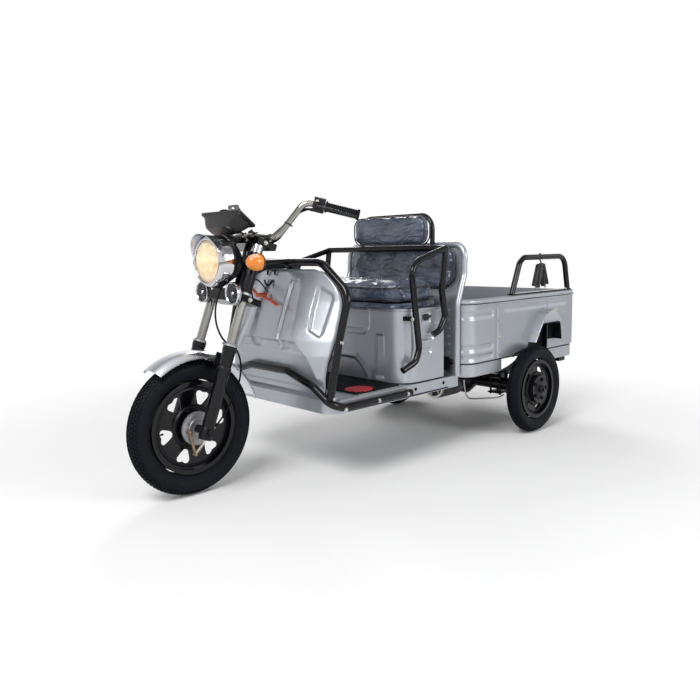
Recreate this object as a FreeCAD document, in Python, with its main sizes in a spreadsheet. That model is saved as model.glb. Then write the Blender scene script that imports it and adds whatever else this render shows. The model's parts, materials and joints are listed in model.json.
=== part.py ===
import FreeCAD, Part
import math
import os
import Sketcher

# Electric cargo tricycle, millimetres. +X is the vehicle's left, -Y its front, +Z up.
# The origin is on the ground, in the middle of the vehicle's length and width.
# A station is a distance behind the front axle.

doc = FreeCAD.newDocument("cargo_tricycle")
sheet = doc.addObject("Spreadsheet::Sheet", "D")

# Driving sizes: name, value, what it is
SIZES = [
    ("wheelbase", 1495, "front axle to rear axle"),
    ("hinge_r", 6, "tailgate hinge knuckle radius"),
    ("hinge_pin_r", 3, "tailgate hinge pin radius"),
    ("half_track", 405, "middle plane to a rear tyre's middle"),
    ("front_tyre_od", 465, "front tyre diameter"),
    ("front_tyre_width", 70, "front tyre width"),
    ("front_rim_r", 160, "front rim flange radius"),
    ("rear_tyre_od", 386, "rear tyre diameter"),
    ("rear_tyre_width", 58, "rear tyre width"),
    ("rear_rim_r", 130, "rear rim flange radius"),
    ("rim_width", 46, "rim width over the flanges"),
    ("hub_r", 60, "brake drum hub radius"),
    ("axle_r", 8, "wheel axle radius"),
    ("running_gap", 0.1, "radial clearance of a running fit"),
    ("seat_gap", 0.3, "clearance between faces that move past each other"),
    ("rake", 21, "fork angle from upright, degrees"),
    ("fork_half", 95, "middle plane to a fork leg"),
    ("fork_tube_r", 15.5, "chrome fork tube radius"),
    ("slider_r", 22, "black fork slider radius"),
    ("slider_top", 275, "axle to the slider's top, along the fork"),
    ("clamp_low", 446, "axle to the lower clamp's underside"),
    ("clamp_thick", 22, "clamp thickness"),
    ("clamp_high", 650, "axle to the top clamp's underside"),
    ("stem_back", 35, "fork plane back to the steering axis"),
    ("stem_r", 14, "steering stem radius"),
    ("head_wall", 6, "head tube wall"),
    ("lamp_station", 130, "rear of the headlamp bezel"),
    ("lamp_height", 787, "headlamp centre height"),
    ("lamp_r", 87, "headlamp bezel radius"),
    ("lens_r", 71, "headlamp lens radius"),
    ("pod_width", 238, "instrument pod width"),
    ("pod_length", 84, "instrument pod length"),
    ("pod_depth", 52, "instrument pod depth"),
    ("pod_tilt", 39, "instrument pod tilt towards the rider, degrees"),
    ("bar_r", 11, "handlebar tube radius"),
    ("grip_r", 16, "grip radius"),
    ("mirror_thread_r", 4, "threaded hole for a mirror, radius"),
    ("mirror_thread_depth", 12, "threaded hole for a mirror, depth"),
    ("fender_r", 259, "front fender's outer radius"),
    ("fender_half", 56, "front fender's half width"),
    ("sheet_wall", 3, "pressed sheet thickness"),
    ("guard_tube_r", 14, "crash bar tube radius"),
    ("rail_tube_r", 12.5, "handrail and headboard tube radius"),
    ("floor_half", 320, "floor's half width"),
    ("floor_front", 352, "station of the floor's front edge"),
    ("floor_height", 303, "floor's top"),
    ("skirt_depth", 46, "depth of the floor's skirt"),
    ("seat_front", 730, "station of the seat box's front"),
    ("seat_rear", 974, "station of the seat box's rear"),
    ("seat_half", 310, "seat box's half width"),
    ("seat_top", 592, "seat box's rim height"),
    ("seat_corner", 85, "radius of the seat box's front corners"),
    ("seat_board", 20, "seat board thickness"),
    ("cushion_thick", 84, "seat cushion thickness"),
    ("cushion_half", 290, "seat cushion's half width"),
    ("cushion_front", 705, "station of the seat cushion's front"),
    ("cushion_rear", 980, "station of the seat cushion's rear"),
    ("box_front", 1060, "station of the cargo box's front"),
    ("box_rear", 1893, "station of the cargo sides' rear ends"),
    ("box_half", 360, "cargo box's half width"),
    ("box_corner", 70, "radius of the cargo box's front corners"),
    ("box_seam", 1262, "station where the corner pieces end"),
    ("deck_height", 345, "cargo floor's top"),
    ("deck_plate", 2, "height of the loading plate on the cargo floor"),
    ("deck_skirt", 54, "depth of the cargo floor's skirt"),
    ("rail_height", 610, "cargo side's top"),
    ("rail_lip", 22, "width of the rolled rail along the cargo side's top"),
    ("gate_thick", 18, "tailgate thickness"),
    ("gate_gap", 5, "gap between the tailgate and what it closes"),
    ("head_station", 1034, "station of the headboard hoop below its lean"),
    ("head_half", 342, "headboard's half width"),
    ("head_top", 845, "headboard's top"),
    ("back_half", 206, "upper back cushion's half width"),
    ("back_low", 832, "upper back cushion's underside"),
    ("back_high", 955, "upper back cushion's top"),
    ("arch_out", 45, "how far the wheel arches stand out"),
    ("beam_half", 215, "middle plane to a chassis rail"),
    ("beam_width", 30, "chassis rail width"),
    ("beam_height", 38, "chassis rail height"),
    ("axle_tube_r", 28, "rear axle tube radius"),
]
for row, (alias, value, note) in enumerate(SIZES, start=1):
    sheet.set(f"A{row}", alias)
    sheet.set(f"B{row}", str(value))
    sheet.setAlias(f"B{row}", alias)
    sheet.set(f"C{row}", note)
doc.recompute()


def size(name):
    return float(sheet.get(name))


GATE_REAR = "(D.box_rear + D.gate_gap + D.gate_thick)"
AXLE_Y = f"((D.front_tyre_od / 2 - {GATE_REAR} - 2 * D.hinge_r) / 2)"
AXLE_Z = "D.front_tyre_od / 2"
gate_rear = size("box_rear") + size("gate_gap") + size("gate_thick")
axle_y = (size("front_tyre_od") / 2 - gate_rear - 2 * size("hinge_r")) / 2
axle_z = size("front_tyre_od") / 2
rake = math.radians(size("rake"))


def station(text):
    """Expression for the Y of a station."""
    return f"{AXLE_Y} + {text}"


def place(obj, x="0", y="0", z="0", axis=None, angle="0"):
    """Bind an object's place, and its turn about one axis."""
    if axis:
        obj.Placement = FreeCAD.Placement(FreeCAD.Vector(), FreeCAD.Rotation(axis, 1))
        obj.setExpression("Placement.Rotation.Angle", angle)
    for key, text in zip("xyz", (x, y, z)):
        obj.setExpression(f"Placement.Base.{key}", text)
    return obj


def add(kind, name, **texts):
    """A Part primitive whose sizes are bound to expressions."""
    obj = doc.addObject(kind, name)
    for prop, text in texts.items():
        obj.setExpression(prop, text)
    return obj


def block(name, low, span):
    """A box from its low corner and its three sizes, all expressions."""
    obj = add("Part::Box", name, Length=span[0], Width=span[1], Height=span[2])
    return place(obj, *low)


X_AXIS, Y_AXIS, Z_AXIS = FreeCAD.Vector(1, 0, 0), FreeCAD.Vector(0, 1, 0), FreeCAD.Vector(0, 0, 1)


def rod(name, at, along, radius, length):
    """A cylinder that starts at a point and runs along +X, +Y or +Z."""
    obj = add("Part::Cylinder", name, Radius=radius, Height=length)
    turn = {"x": (Y_AXIS, "90"), "y": (X_AXIS, "-90"), "z": (None, "0")}[along]
    return place(obj, *at, axis=turn[0], angle=turn[1])


def fuse(label, parts):
    obj = doc.addObject("Part::MultiFuse", label)
    obj.Shapes = parts
    obj.Refine = True
    return obj


def cut(label, base, tool):
    obj = doc.addObject("Part::Cut", label)
    obj.Base, obj.Tool = base, tool
    return obj


def fork_point(x, back, up):
    """A point in the fork's frame, as a point of the vehicle."""
    return FreeCAD.Vector(x, axle_y + back * math.cos(rake) + up * math.sin(rake),
                          axle_z - back * math.sin(rake) + up * math.cos(rake))


def feature(label, shape):
    obj = doc.addObject("Part::Feature", label)
    obj.Shape = shape
    return obj


def at_station(x, behind, up):
    return FreeCAD.Vector(x, axle_y + behind, up)


def mirrored(shape):
    return shape.mirror(FreeCAD.Vector(), X_AXIS)


def bent_path(points, bend):
    """Straight runs joined by arcs, smaller where the runs are short; bend is a radius or one for each corner."""
    edges, start = [], points[0]
    bends = bend if isinstance(bend, list) else [bend] * (len(points) - 2)
    for before, corner, after, bend in zip(points, points[1:], points[2:], bends):
        back, ahead = (before - corner).normalize(), (after - corner).normalize()
        half_turn = (math.pi - back.getAngle(ahead)) / 2
        room = 0.45 * min((before - corner).Length, (after - corner).Length)
        reach = min(bend * math.tan(half_turn), room)
        middle = (back + ahead).normalize()
        radius = reach / math.tan(half_turn)
        centre = corner + middle * (radius / math.cos(half_turn))
        first, last = corner + back * reach, corner + ahead * reach
        edges.append(Part.LineSegment(start, first).toShape())
        edges.append(Part.Arc(first, centre - middle * radius, last).toShape())
        start = last
    edges.append(Part.LineSegment(start, points[-1]).toShape())
    return Part.Wire(edges)


def bent_tube(points, radius, bend):
    """A round bar swept along a bent path."""
    path = bent_path(points, bend)
    ring = Part.makeCircle(radius, points[0], points[1] - points[0])
    return path.makePipeShell([Part.Wire([ring])], True, True)


def plane_of(body, role):
    return next(item for item in body.Origin.OriginFeatures if item.Role == role)


def profile(body, name, role, corners):
    """A closed sketch whose corners are all bound to expressions."""
    sketch = body.newObject("Sketcher::SketchObject", name)
    sketch.AttachmentSupport = [(plane_of(body, role), "")]
    sketch.MapMode = "FlatFace"
    guess = [FreeCAD.Vector(*(sketch.evalExpression(text) for text in pair), 0) for pair in corners]
    for first, last in zip(guess, guess[1:] + guess[:1]):
        sketch.addGeometry(Part.LineSegment(first, last), False)
    count = len(corners)
    for edge in range(count):
        sketch.addConstraint(Sketcher.Constraint("Coincident", edge, 2, (edge + 1) % count, 1))
    for edge, (across, up) in enumerate(corners):
        for kind, text, value in (("DistanceX", across, guess[edge].x), ("DistanceY", up, guess[edge].y)):
            index = sketch.addConstraint(Sketcher.Constraint(kind, -1, 1, edge, 1, value))
            sketch.setExpression(f"Constraints[{index}]", text)
    return sketch


def new_body(label):
    return doc.addObject("PartDesign::Body", label)


def pad(body, sketch, length, both=False):
    obj = body.newObject("PartDesign::Pad", sketch.Name + "_pad")
    obj.Profile = sketch
    obj.setExpression("Length", length)
    obj.Midplane = both
    return obj


def pocket(body, sketch, length, both=False, flip=False):
    obj = body.newObject("PartDesign::Pocket", sketch.Name + "_pocket")
    obj.Profile = sketch
    obj.setExpression("Length", length)
    obj.Midplane = both
    obj.Reversed = flip
    return obj


def revolve(body, sketch, angle="360", middle=False):
    """Turn a sketch about its own horizontal axis."""
    obj = body.newObject("PartDesign::Revolution", sketch.Name + "_turned")
    obj.Profile = sketch
    obj.ReferenceAxis = (sketch, ["H_Axis"])
    obj.setExpression("Angle", angle)
    obj.Midplane = middle
    return obj


def round_edges(body, base, radius, chosen):
    """Fillet the edges that a test picks."""
    doc.recompute()
    names = [f"Edge{i + 1}" for i, edge in enumerate(base.Shape.Edges) if chosen(edge)]
    obj = body.newObject("PartDesign::Fillet", base.Name + "_rounded")
    obj.Base = (base, names)
    obj.setExpression("Radius", radius)
    return obj


def along(edge, axis):
    if edge.Curve.TypeId != "Part::GeomLine":
        return False
    return abs(edge.tangentAt(edge.FirstParameter).dot(axis)) > 0.999


def rounded_block(label, low, span, corner, front_only=True):
    """A padded rectangle with rounded upright corners; low and span are expressions."""
    body = new_body(label)
    (x0, y0, z0), (dx, dy, dz) = low, span
    corners = [(x0, y0), (f"{x0} + {dx}", y0), (f"{x0} + {dx}", f"{y0} + {dy}"), (x0, f"{y0} + {dy}")]
    base = pad(body, profile(body, label + "_plan", "XY_Plane", corners), dz)
    doc.recompute()
    front = base.Shape.BoundBox.YMin
    round_edges(body, base, corner, lambda edge: along(edge, Z_AXIS)
                and (not front_only or abs(edge.Vertexes[0].Y - front) < 0.01))
    return place(body, z=z0)


def half_section(table, reach, foot, rise):
    """Corners of a section that is the same both sides of the wheel's middle plane."""
    right = [(f"{part} * {reach}", f"{foot} + {share} * {rise}") for part, share in table]
    return right + [("-(" + x + ")", y) for x, y in reversed(right)]


# Tyre section above the rim: part of the width, part of the section's height
TYRE_SECTION = [(0.44, 0.25), (0.5, 0.52), (0.465, 0.71), (0.36, 0.87), (0.22, 0.96), (0.08, 1.0)]
RIM_LEDGE = 10
RIM_WALL = 5
HUB_HALF = 32


def tyre(label, od, width, rim_r, at):
    """A rubber ring on its rim's ledge, turned about the axle."""
    body = new_body(label)
    bead = f"(D.rim_width / 2 - {RIM_WALL} - D.seat_gap)"
    ledge = f"{rim_r} - {RIM_LEDGE} + D.seat_gap"
    seat = [(bead, ledge), (bead, f"{rim_r} + 2")]
    upper = half_section(TYRE_SECTION, width, rim_r, f"({od} / 2 - {rim_r})")
    corners = seat + upper + [("-" + x, y) for x, y in reversed(seat)]
    revolve(body, profile(body, label + "_section", "XY_Plane", corners))
    return place(body, *at)


# Half of a rim window, about its own middle: across, outwards
WINDOW = [(0, -25), (9, -23), (19, -7), (26, 9), (24, 17), (15, 22), (0, 18)]
WINDOW_TURN = "-22"


def rim(label, rim_r, side, at, windows):
    """A pressed rim with a disc near its outer face and a drum hub."""
    body = new_body(label)
    half = "D.rim_width / 2"
    inner = f"{rim_r} - {RIM_LEDGE + RIM_WALL}"
    outline = [(f"-{half}", rim_r), (f"{RIM_WALL} - {half}", rim_r),
               (f"{RIM_WALL} - {half}", f"{rim_r} - {RIM_LEDGE}"),
               (f"{half} - {RIM_WALL}", f"{rim_r} - {RIM_LEDGE}"),
               (f"{half} - {RIM_WALL}", rim_r), (half, rim_r), (half, inner), ("9", inner),
               ("9", "D.hub_r"), (f"{HUB_HALF}", "D.hub_r"), (f"{HUB_HALF}", "D.axle_r + D.running_gap"),
               (f"-{HUB_HALF}", "D.axle_r + D.running_gap"), (f"-{HUB_HALF}", "D.hub_r"),
               ("4", "D.hub_r"), ("4", inner), (f"-{half}", inner)]
    outline = [(f"{side} * ({x})", y) for x, y in outline]
    revolve(body, profile(body, label + "_section", "XY_Plane", outline))
    middle = f"({inner} + D.hub_r) / 2"
    right = [(str(x), f"{middle} + {y}") for x, y in WINDOW]
    left = [(str(-x), f"{middle} + {y}") for x, y in reversed(WINDOW[1:-1])]
    hole = pocket(body, profile(body, label + "_window", "YZ_Plane", right + left), "D.rim_width", both=True)
    ring = body.newObject("PartDesign::PolarPattern", label + "_windows")
    ring.Originals = [hole]
    ring.Axis = (plane_of(body, "X_Axis"), [""])
    ring.Angle = 360
    ring.Occurrences = windows
    body.Tip = ring
    return place(body, *at, X_AXIS, WINDOW_TURN)


front_hub = ("0", AXLE_Y, AXLE_Z)
tyre("front_tyre", "D.front_tyre_od", "D.front_tyre_width", "D.front_rim_r", front_hub)
rim("front_rim", "D.front_rim_r", 1, front_hub, 6)
REAR_Y, REAR_Z = station("D.wheelbase"), "D.rear_tyre_od / 2"
for name, side in (("left", 1), ("right", -1)):
    rear_hub = (f"{side} * D.half_track", REAR_Y, REAR_Z)
    tyre(f"rear_tyre_{name}", "D.rear_tyre_od", "D.rear_tyre_width", "D.rear_rim_r", rear_hub)
    rim(f"rear_rim_{name}", "D.rear_rim_r", side, rear_hub, 5)

# Steering: everything here is made in the fork's frame and then raked back
LEG = ("D.fork_half", "-D.fork_half")


def raked_node(label, parts):
    whole = fuse(label + "_parts", parts) if len(parts) > 1 else parts[0]
    holder = doc.addObject("Part::Compound", label)
    holder.Links = [whole]
    return place(holder, "0", AXLE_Y, AXLE_Z, X_AXIS, "-D.rake")


raked_node("fork_tubes", [rod(f"fork_tube_{i}", (x, "0", "D.slider_top - 40"), "z", "D.fork_tube_r",
                              "D.clamp_high + D.clamp_thick - 1 - D.slider_top + 40")
                          for i, x in enumerate(LEG)])
slider_parts = []
for i, x in enumerate(LEG):
    slider = rod(f"slider_{i}", (x, "0", "-28"), "z", "D.slider_r", "D.slider_top + 28")
    collar = rod(f"slider_collar_{i}", (x, "0", "D.slider_top"), "z", "D.slider_r + 2", "14")
    inner = "D.fender_half + D.seat_gap" if i == 0 else "-(D.fork_half)"
    tab = block(f"fender_tab_{i}", (inner, "-14", "222"), ("D.fork_half - D.fender_half - D.seat_gap", "28", "30"))
    solid = fuse(f"slider_solid_{i}", [slider, collar, tab])
    tube_hole = rod(f"slider_bore_{i}", (x, "0", "D.slider_top - 45"), "z", "D.fork_tube_r + D.running_gap", "80")
    axle_hole = rod(f"slider_eye_{i}", (f"{x} - 40", "0", "0"), "x", "D.axle_r + D.running_gap", "80")
    slider_parts.append(cut(f"slider_cut_{i}", cut(f"slider_bored_{i}", solid, tube_hole), axle_hole))
raked_node("fork_sliders", slider_parts)

PLATE_THICK = 7
axle_end = "(D.fork_half + D.slider_r + 12)"
hub_side = f"({HUB_HALF} + D.seat_gap)"
plate_out = f"({HUB_HALF} + {PLATE_THICK} + 2 * D.seat_gap)"
inner_leg = "(D.fork_half - D.slider_r - D.seat_gap)"
fuse("front_axle", [
    rod("axle_pin", (f"-{axle_end}", AXLE_Y, AXLE_Z), "x", "D.axle_r", f"2 * {axle_end}"),
    rod("axle_spacer_right", (f"-{inner_leg}", AXLE_Y, AXLE_Z), "x", "D.axle_r + 6", f"{inner_leg} - {hub_side}"),
    rod("axle_spacer_left", (plate_out, AXLE_Y, AXLE_Z), "x", "D.axle_r + 6", f"{inner_leg} - {plate_out}"),
    rod("axle_nut_right", (f"-{axle_end}", AXLE_Y, AXLE_Z), "x", "D.axle_r + 5", "11"),
    rod("axle_nut_left", (f"{axle_end} - 11", AXLE_Y, AXLE_Z), "x", "D.axle_r + 5", "11")])
plate = rod("plate_disc", (hub_side, AXLE_Y, AXLE_Z), "x", "D.hub_r - 3", str(PLATE_THICK))
stay = block("plate_stay", (hub_side, f"{AXLE_Y} - 40", f"{AXLE_Z} - 4"), (str(PLATE_THICK), "36", "16"))
plate_hole = rod("plate_hole", (f"{hub_side} - 5", AXLE_Y, AXLE_Z), "x", "D.axle_r + D.running_gap", "20")
cut("brake_plate", fuse("plate_solid", [plate, stay]), plate_hole)

clamp_low = block("clamp_low_plate", ("-D.fork_half - 24", "-22", "D.clamp_low"),
                  ("2 * D.fork_half + 48", "D.stem_back + 46", "D.clamp_thick"))
clamp_high = block("clamp_high_plate", ("-D.fork_half - 24", "-22", "D.clamp_high"),
                   ("2 * D.fork_half + 48", "D.stem_back + 46", "D.clamp_thick"))
stem_parts = [clamp_low, clamp_high, rod("stem_rod", ("0", "D.stem_back", "D.clamp_low"), "z", "D.stem_r",
                                         "D.clamp_high - D.clamp_low + D.clamp_thick + 12")]
for i, x in enumerate(LEG):
    stem_parts.append(rod(f"fork_cover_{i}", (x, "0", "D.clamp_low + D.clamp_thick + 10"), "z",
                          "D.fork_tube_r + 6", "D.clamp_high - D.clamp_low - D.clamp_thick - 40"))
    stem_parts.append(rod(f"cover_ring_low_{i}", (x, "0", "D.clamp_low + D.clamp_thick"), "z",
                          "D.fork_tube_r + 4", "12"))
    stem_parts.append(rod(f"cover_ring_high_{i}", (x, "0", "D.clamp_high - 32"), "z", "D.fork_tube_r + 4", "33"))
stem_solid = fuse("stem_solid", stem_parts)
for i, x in enumerate(LEG):
    leg_hole = rod(f"clamp_hole_{i}", (x, "0", "D.clamp_low - 20"), "z", "D.fork_tube_r + D.running_gap",
                   "D.clamp_high - D.clamp_low + 80")
    stem_solid = cut(f"stem_bored_{i}", stem_solid, leg_hole)
raked_node("steering_stem", [stem_solid])

# Headlamp, turned about its own axis and faced forwards
LAMP_AT = ("0", station("D.lamp_station"), "D.lamp_height")


def lamp_piece(name, corners):
    body = new_body(name)
    revolve(body, profile(body, name + "_section", "XY_Plane", corners))
    return place(body, *LAMP_AT, axis=Z_AXIS, angle="-90")


bowl = lamp_piece("bowl_turned", [("-75", "0"), ("0", "0"), ("0", "D.lamp_r - 5"), ("-20", "D.lamp_r - 7"),
                                  ("-55", "D.lamp_r - 25"), ("-75", "D.lamp_r - 47")])
ear_half = "(D.fork_half - D.fork_tube_r - 6 - D.seat_gap)"
ears = rod("bowl_ears", (f"-{ear_half}", station("203"), "D.lamp_height"), "x", "8", f"2 * {ear_half}")
fuse("headlamp_bowl", [bowl, ears])
ring = lamp_piece("bezel_turned", [("-8", "D.lamp_r - 4.6"), ("-8", "D.lamp_r"), ("34", "D.lamp_r"),
                                   ("45", "D.lamp_r - 8"), ("45", "D.lens_r + 1"), ("0.3", "D.lens_r + 1"),
                                   ("0.3", "D.lamp_r - 4.6")])
visor = new_body("visor_turned")
revolve(visor, profile(visor, "visor_section", "XY_Plane", [("30", "D.lamp_r - 3"), ("30", "D.lamp_r"),
                                                            ("74", "D.lamp_r + 3"), ("74", "D.lamp_r")]),
        "120", middle=True)
visor.Placement = FreeCAD.Placement(FreeCAD.Vector(), FreeCAD.Rotation(Z_AXIS, -90) * FreeCAD.Rotation(X_AXIS, 90))
place(visor, *LAMP_AT)
fuse("headlamp_bezel", [ring, visor])
lens = lamp_piece("headlamp_lens", [("30", "0"), ("62", "0"), ("59", "0.45 * D.lens_r"), ("52", "0.8 * D.lens_r"),
                                    ("43", "D.lens_r + 0.7"), ("30", "D.lens_r + 0.7")])

# Twin round lamps with a ribbed block between them, on a bracket from the lower clamp
TWIN_R = 39
twin = [rod(f"twin_{i}", (x, station("116"), "680"), "y", str(TWIN_R), "22") for i, x in enumerate(("-93", "93"))]
twin.append(block("twin_block", ("-56", station("122"), "656"), ("112", "16", "40")))
bracket = block("twin_bracket", ("-26", "-40", "D.clamp_low + 6"), ("52", "18 - D.seat_gap", "12"))
bracket_at = doc.addObject("Part::Compound", "twin_bracket_raked")
bracket_at.Links = [bracket]
place(bracket_at, "0", AXLE_Y, AXLE_Z, X_AXIS, "-D.rake")
fuse("twin_lamps", twin + [bracket_at])

signal_parts = []
for i, side in enumerate((1, -1)):
    bulb = add("Part::Ellipsoid", f"signal_bulb_{i}", Radius1="28.5", Radius2="45", Radius3="30")
    bulb.Angle2 = 90
    place(bulb, f"{side} * 163", station("172"), "770")
    cover_side = "(D.fork_half + D.fork_tube_r + 6 + D.seat_gap)"
    start = cover_side if side == 1 else f"-{cover_side} - 30"
    stalk = rod(f"signal_stalk_{i}", (start, station("198"), "770"), "x", "7", "30")
    signal_parts.append(fuse(f"signal_{i}", [bulb, stalk]))
turn_signals = doc.addObject("Part::Compound", "turn_signals")
turn_signals.Links = signal_parts

# Instrument pod: a tray that widens to its rim, on a bracket from the top clamp
tilt = math.radians(size("pod_tilt"))
pod_half, pod_run = size("pod_width") / 2, size("pod_length") / 2
rings = []
for inset, drop in ((0, 0), (2, -6), (14, -7), (44, -size("pod_depth"))):
    x, y = pod_half - inset, pod_run - inset * 0.45
    rings.append(Part.makePolygon([FreeCAD.Vector(x * a, y * b, drop)
                                   for a, b in ((-1, -1), (1, -1), (1, 1), (-1, 1), (-1, -1))]))
pod = Part.makeLoft(rings, True, True)
pod.Placement = FreeCAD.Placement(at_station(0, 177, 929), FreeCAD.Rotation(X_AXIS, -size("pod_tilt")))
pod_stay = Part.makeBox(50, 62, 8, FreeCAD.Vector(-25, -22 - size("seat_gap") - 62, size("clamp_high") + 6))
pod_stay.Placement = FreeCAD.Placement(FreeCAD.Vector(0, axle_y, axle_z), FreeCAD.Rotation(X_AXIS, -size("rake")))
feature("instrument_pod", pod.fuse(pod_stay))

# Handlebar: left half's corners, then the same mirrored
RISER = 13
bar_rise = size("clamp_high") + size("clamp_thick") + size("seat_gap") + RISER
bar_seat = fork_point(62, 10, bar_rise)
BAR_LEFT = [at_station(344, 466, 935), at_station(214, 344, 982), at_station(148, 272, 862), bar_seat]
bar_points = BAR_LEFT + [FreeCAD.Vector(-p.x, p.y, p.z) for p in reversed(BAR_LEFT)]
bar = bent_tube(bar_points, size("bar_r"), 42)
for x in (-45, 23):
    riser = Part.makeBox(22, 34, RISER + 16, FreeCAD.Vector(x, -7, bar_rise - RISER))
    riser.Placement = FreeCAD.Placement(FreeCAD.Vector(0, axle_y, axle_z), FreeCAD.Rotation(X_AXIS, -size("rake")))
    bar = bar.fuse(riser)
feature("handlebar", bar)
grip_way = (BAR_LEFT[0] - BAR_LEFT[1]).normalize()
GRIP_LENGTH = 118
grip_start = BAR_LEFT[0] - grip_way * (GRIP_LENGTH - 6)
grip_solid = Part.makeCylinder(size("grip_r"), GRIP_LENGTH, grip_start, grip_way)
grip_solid = grip_solid.cut(Part.makeCylinder(size("bar_r") + size("seat_gap"), GRIP_LENGTH - 5, grip_start, grip_way))
feature("grips", Part.makeCompound([grip_solid, mirrored(grip_solid)]))
switch_frame = FreeCAD.Rotation(X_AXIS, grip_way)
switch_centre = grip_start - grip_way * 22
switch_box = Part.makeBox(36, 40, 50, FreeCAD.Vector(-18, -20, -24))
lever_perch = Part.makeBox(16, 34, 16, FreeCAD.Vector(-16, -52, -8))
switch_solid = switch_box.fuse(lever_perch)
switch_solid.Placement = FreeCAD.Placement(switch_centre, switch_frame)
switch_solid = switch_solid.cut(Part.makeCylinder(size("bar_r") + size("running_gap"), 80,
                                                  switch_centre - grip_way * 40, grip_way))
lever_path = [FreeCAD.Vector(-5, -46, 0), FreeCAD.Vector(30, -58, 0), FreeCAD.Vector(135, -46, -6)]
lever = bent_tube([switch_centre + switch_frame.multVec(p) for p in lever_path], 5, 20)
switch_solid = switch_solid.fuse(lever)
mirror_up = switch_frame.multVec(Z_AXIS)
mirror_at = switch_centre + switch_frame.multVec(FreeCAD.Vector(-8, -40, 8))
switch_solid = switch_solid.cut(Part.makeCylinder(size("mirror_thread_r"), size("mirror_thread_depth") + 1,
                                                  mirror_at + mirror_up, -mirror_up))
feature("switch_boxes", Part.makeCompound([switch_solid, mirrored(switch_solid)]))

# Front fender: a crowned sheet turned through part of a circle about the axle
CROWN = [(1.0, -20), (0.9, -9), (0.55, -2), (0.2, 0)]
outer = [(f"{part} * D.fender_half", f"D.fender_r + {drop}") for part, drop in CROWN]
inner = [(f"{part} * D.fender_half - {part} * 2.5", f"D.fender_r + {drop} - 2.5") for part, drop in CROWN]
fender_outline = (outer + [("-(" + x + ")", y) for x, y in reversed(outer)]
                  + [("-(" + x + ")", y) for x, y in inner] + list(reversed(inner)))
fender = new_body("front_fender")
revolve(fender, profile(fender, "fender_section", "XY_Plane", fender_outline), "108.6", middle=True)
place(fender, "0", AXLE_Y, AXLE_Z, X_AXIS, "70.8")

# Chassis: rails under the floor and deck, crossmembers, head tube, neck and leaf springs
floor_low = size("floor_height") - size("sheet_wall") - size("beam_height")
deck_low = size("deck_height") - size("sheet_wall") - size("beam_height")
beam_w, beam_h = size("beam_width"), size("beam_height")


def beam(x0, x1, y0, y1, z0, z1):
    return Part.makeBox(x1 - x0, y1 - y0, z1 - z0, FreeCAD.Vector(x0, axle_y + y0, z0))


front_start = size("floor_front") + 20
step_start, step_end = size("box_front") + 12, size("box_front") + 52
rear_end = size("box_rear") - 12
frame_parts = []
for side in (-1, 1):
    x0 = side * size("beam_half") - beam_w / 2
    frame_parts.append(beam(x0, x0 + beam_w, front_start, step_end, floor_low, floor_low + beam_h))
    frame_parts.append(beam(x0, x0 + beam_w, step_start, rear_end, deck_low, deck_low + beam_h))
    frame_parts.append(beam(x0, x0 + beam_w, step_start, step_end, floor_low, deck_low + beam_h))
reach = size("beam_half")
for start in (front_start, 436, 700, size("box_front") - 40):
    frame_parts.append(beam(-reach, reach, start, start + beam_w, floor_low, floor_low + beam_h - 0.5))
for start in (step_start, 1300, 1600, rear_end - beam_w):
    frame_parts.append(beam(-reach, reach, start, start + beam_w, deck_low, deck_low + beam_h))

head_axis = fork_point(0, 0, 1) - fork_point(0, 0, 0)
head_foot = size("clamp_low") + size("clamp_thick") + size("seat_gap")
head_length = size("clamp_high") - size("seat_gap") - head_foot
head_start = fork_point(0, size("stem_back"), head_foot)
head_r = size("stem_r") + size("seat_gap") + size("head_wall")
head_tube = Part.makeCylinder(head_r, head_length, head_start, head_axis)
neck_start = fork_point(0, size("stem_back") + 12, head_foot + head_length / 2)
guard_top = size("seat_top") + 184
neck_top = guard_top - 4
NECK = [neck_start, at_station(0, 330, neck_top - 2), at_station(0, 488, neck_top),
        at_station(0, 470, guard_top - 356), at_station(0, 452, floor_low + 10)]
NECK_R = 19
neck = bent_tube(NECK, NECK_R, 60)
frame = frame_parts[0].multiFuse(frame_parts[1:] + [head_tube, neck])
frame = frame.cut(Part.makeCylinder(size("stem_r") + size("running_gap"), head_length + 2,
                                    head_start - head_axis, head_axis))

# Leaf springs: a stack of arcs from rail to rail end, with the axle's saddle in the middle
axle_top = size("rear_tyre_od") / 2 + size("axle_tube_r")
SPRING_HALF, SPRING_WIDTH, SPRING_THICK = 232, 44, 16
for side in (-1, 1):
    x0 = side * (size("beam_half") + 8) - SPRING_WIDTH / 2
    ends = [(-SPRING_HALF, deck_low - 10), (0, axle_top + 6), (SPRING_HALF, deck_low - 10)]
    under = [at_station(x0, size("wheelbase") + y, z) for y, z in ends]
    over = [p + Z_AXIS * SPRING_THICK for p in under]
    outline = Part.Wire([Part.Arc(*under).toShape(), Part.makeLine(under[2], over[2]),
                         Part.Arc(over[2], over[1], over[0]).toShape(), Part.makeLine(over[0], under[0])])
    spring = Part.Face(outline).extrude(X_AXIS * SPRING_WIDTH)
    pad_block = beam(x0, x0 + SPRING_WIDTH, size("wheelbase") - 30, size("wheelbase") + 30,
                     axle_top - 4, axle_top + 10)
    frame = frame.multiFuse([spring, pad_block])
axle_room = Part.makeCylinder(size("axle_tube_r") + 0.2, 800,
                              at_station(-400, size("wheelbase"), size("rear_tyre_od") / 2), X_AXIS)
frame = frame.cut(axle_room)
feature("chassis_frame", frame)

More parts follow.
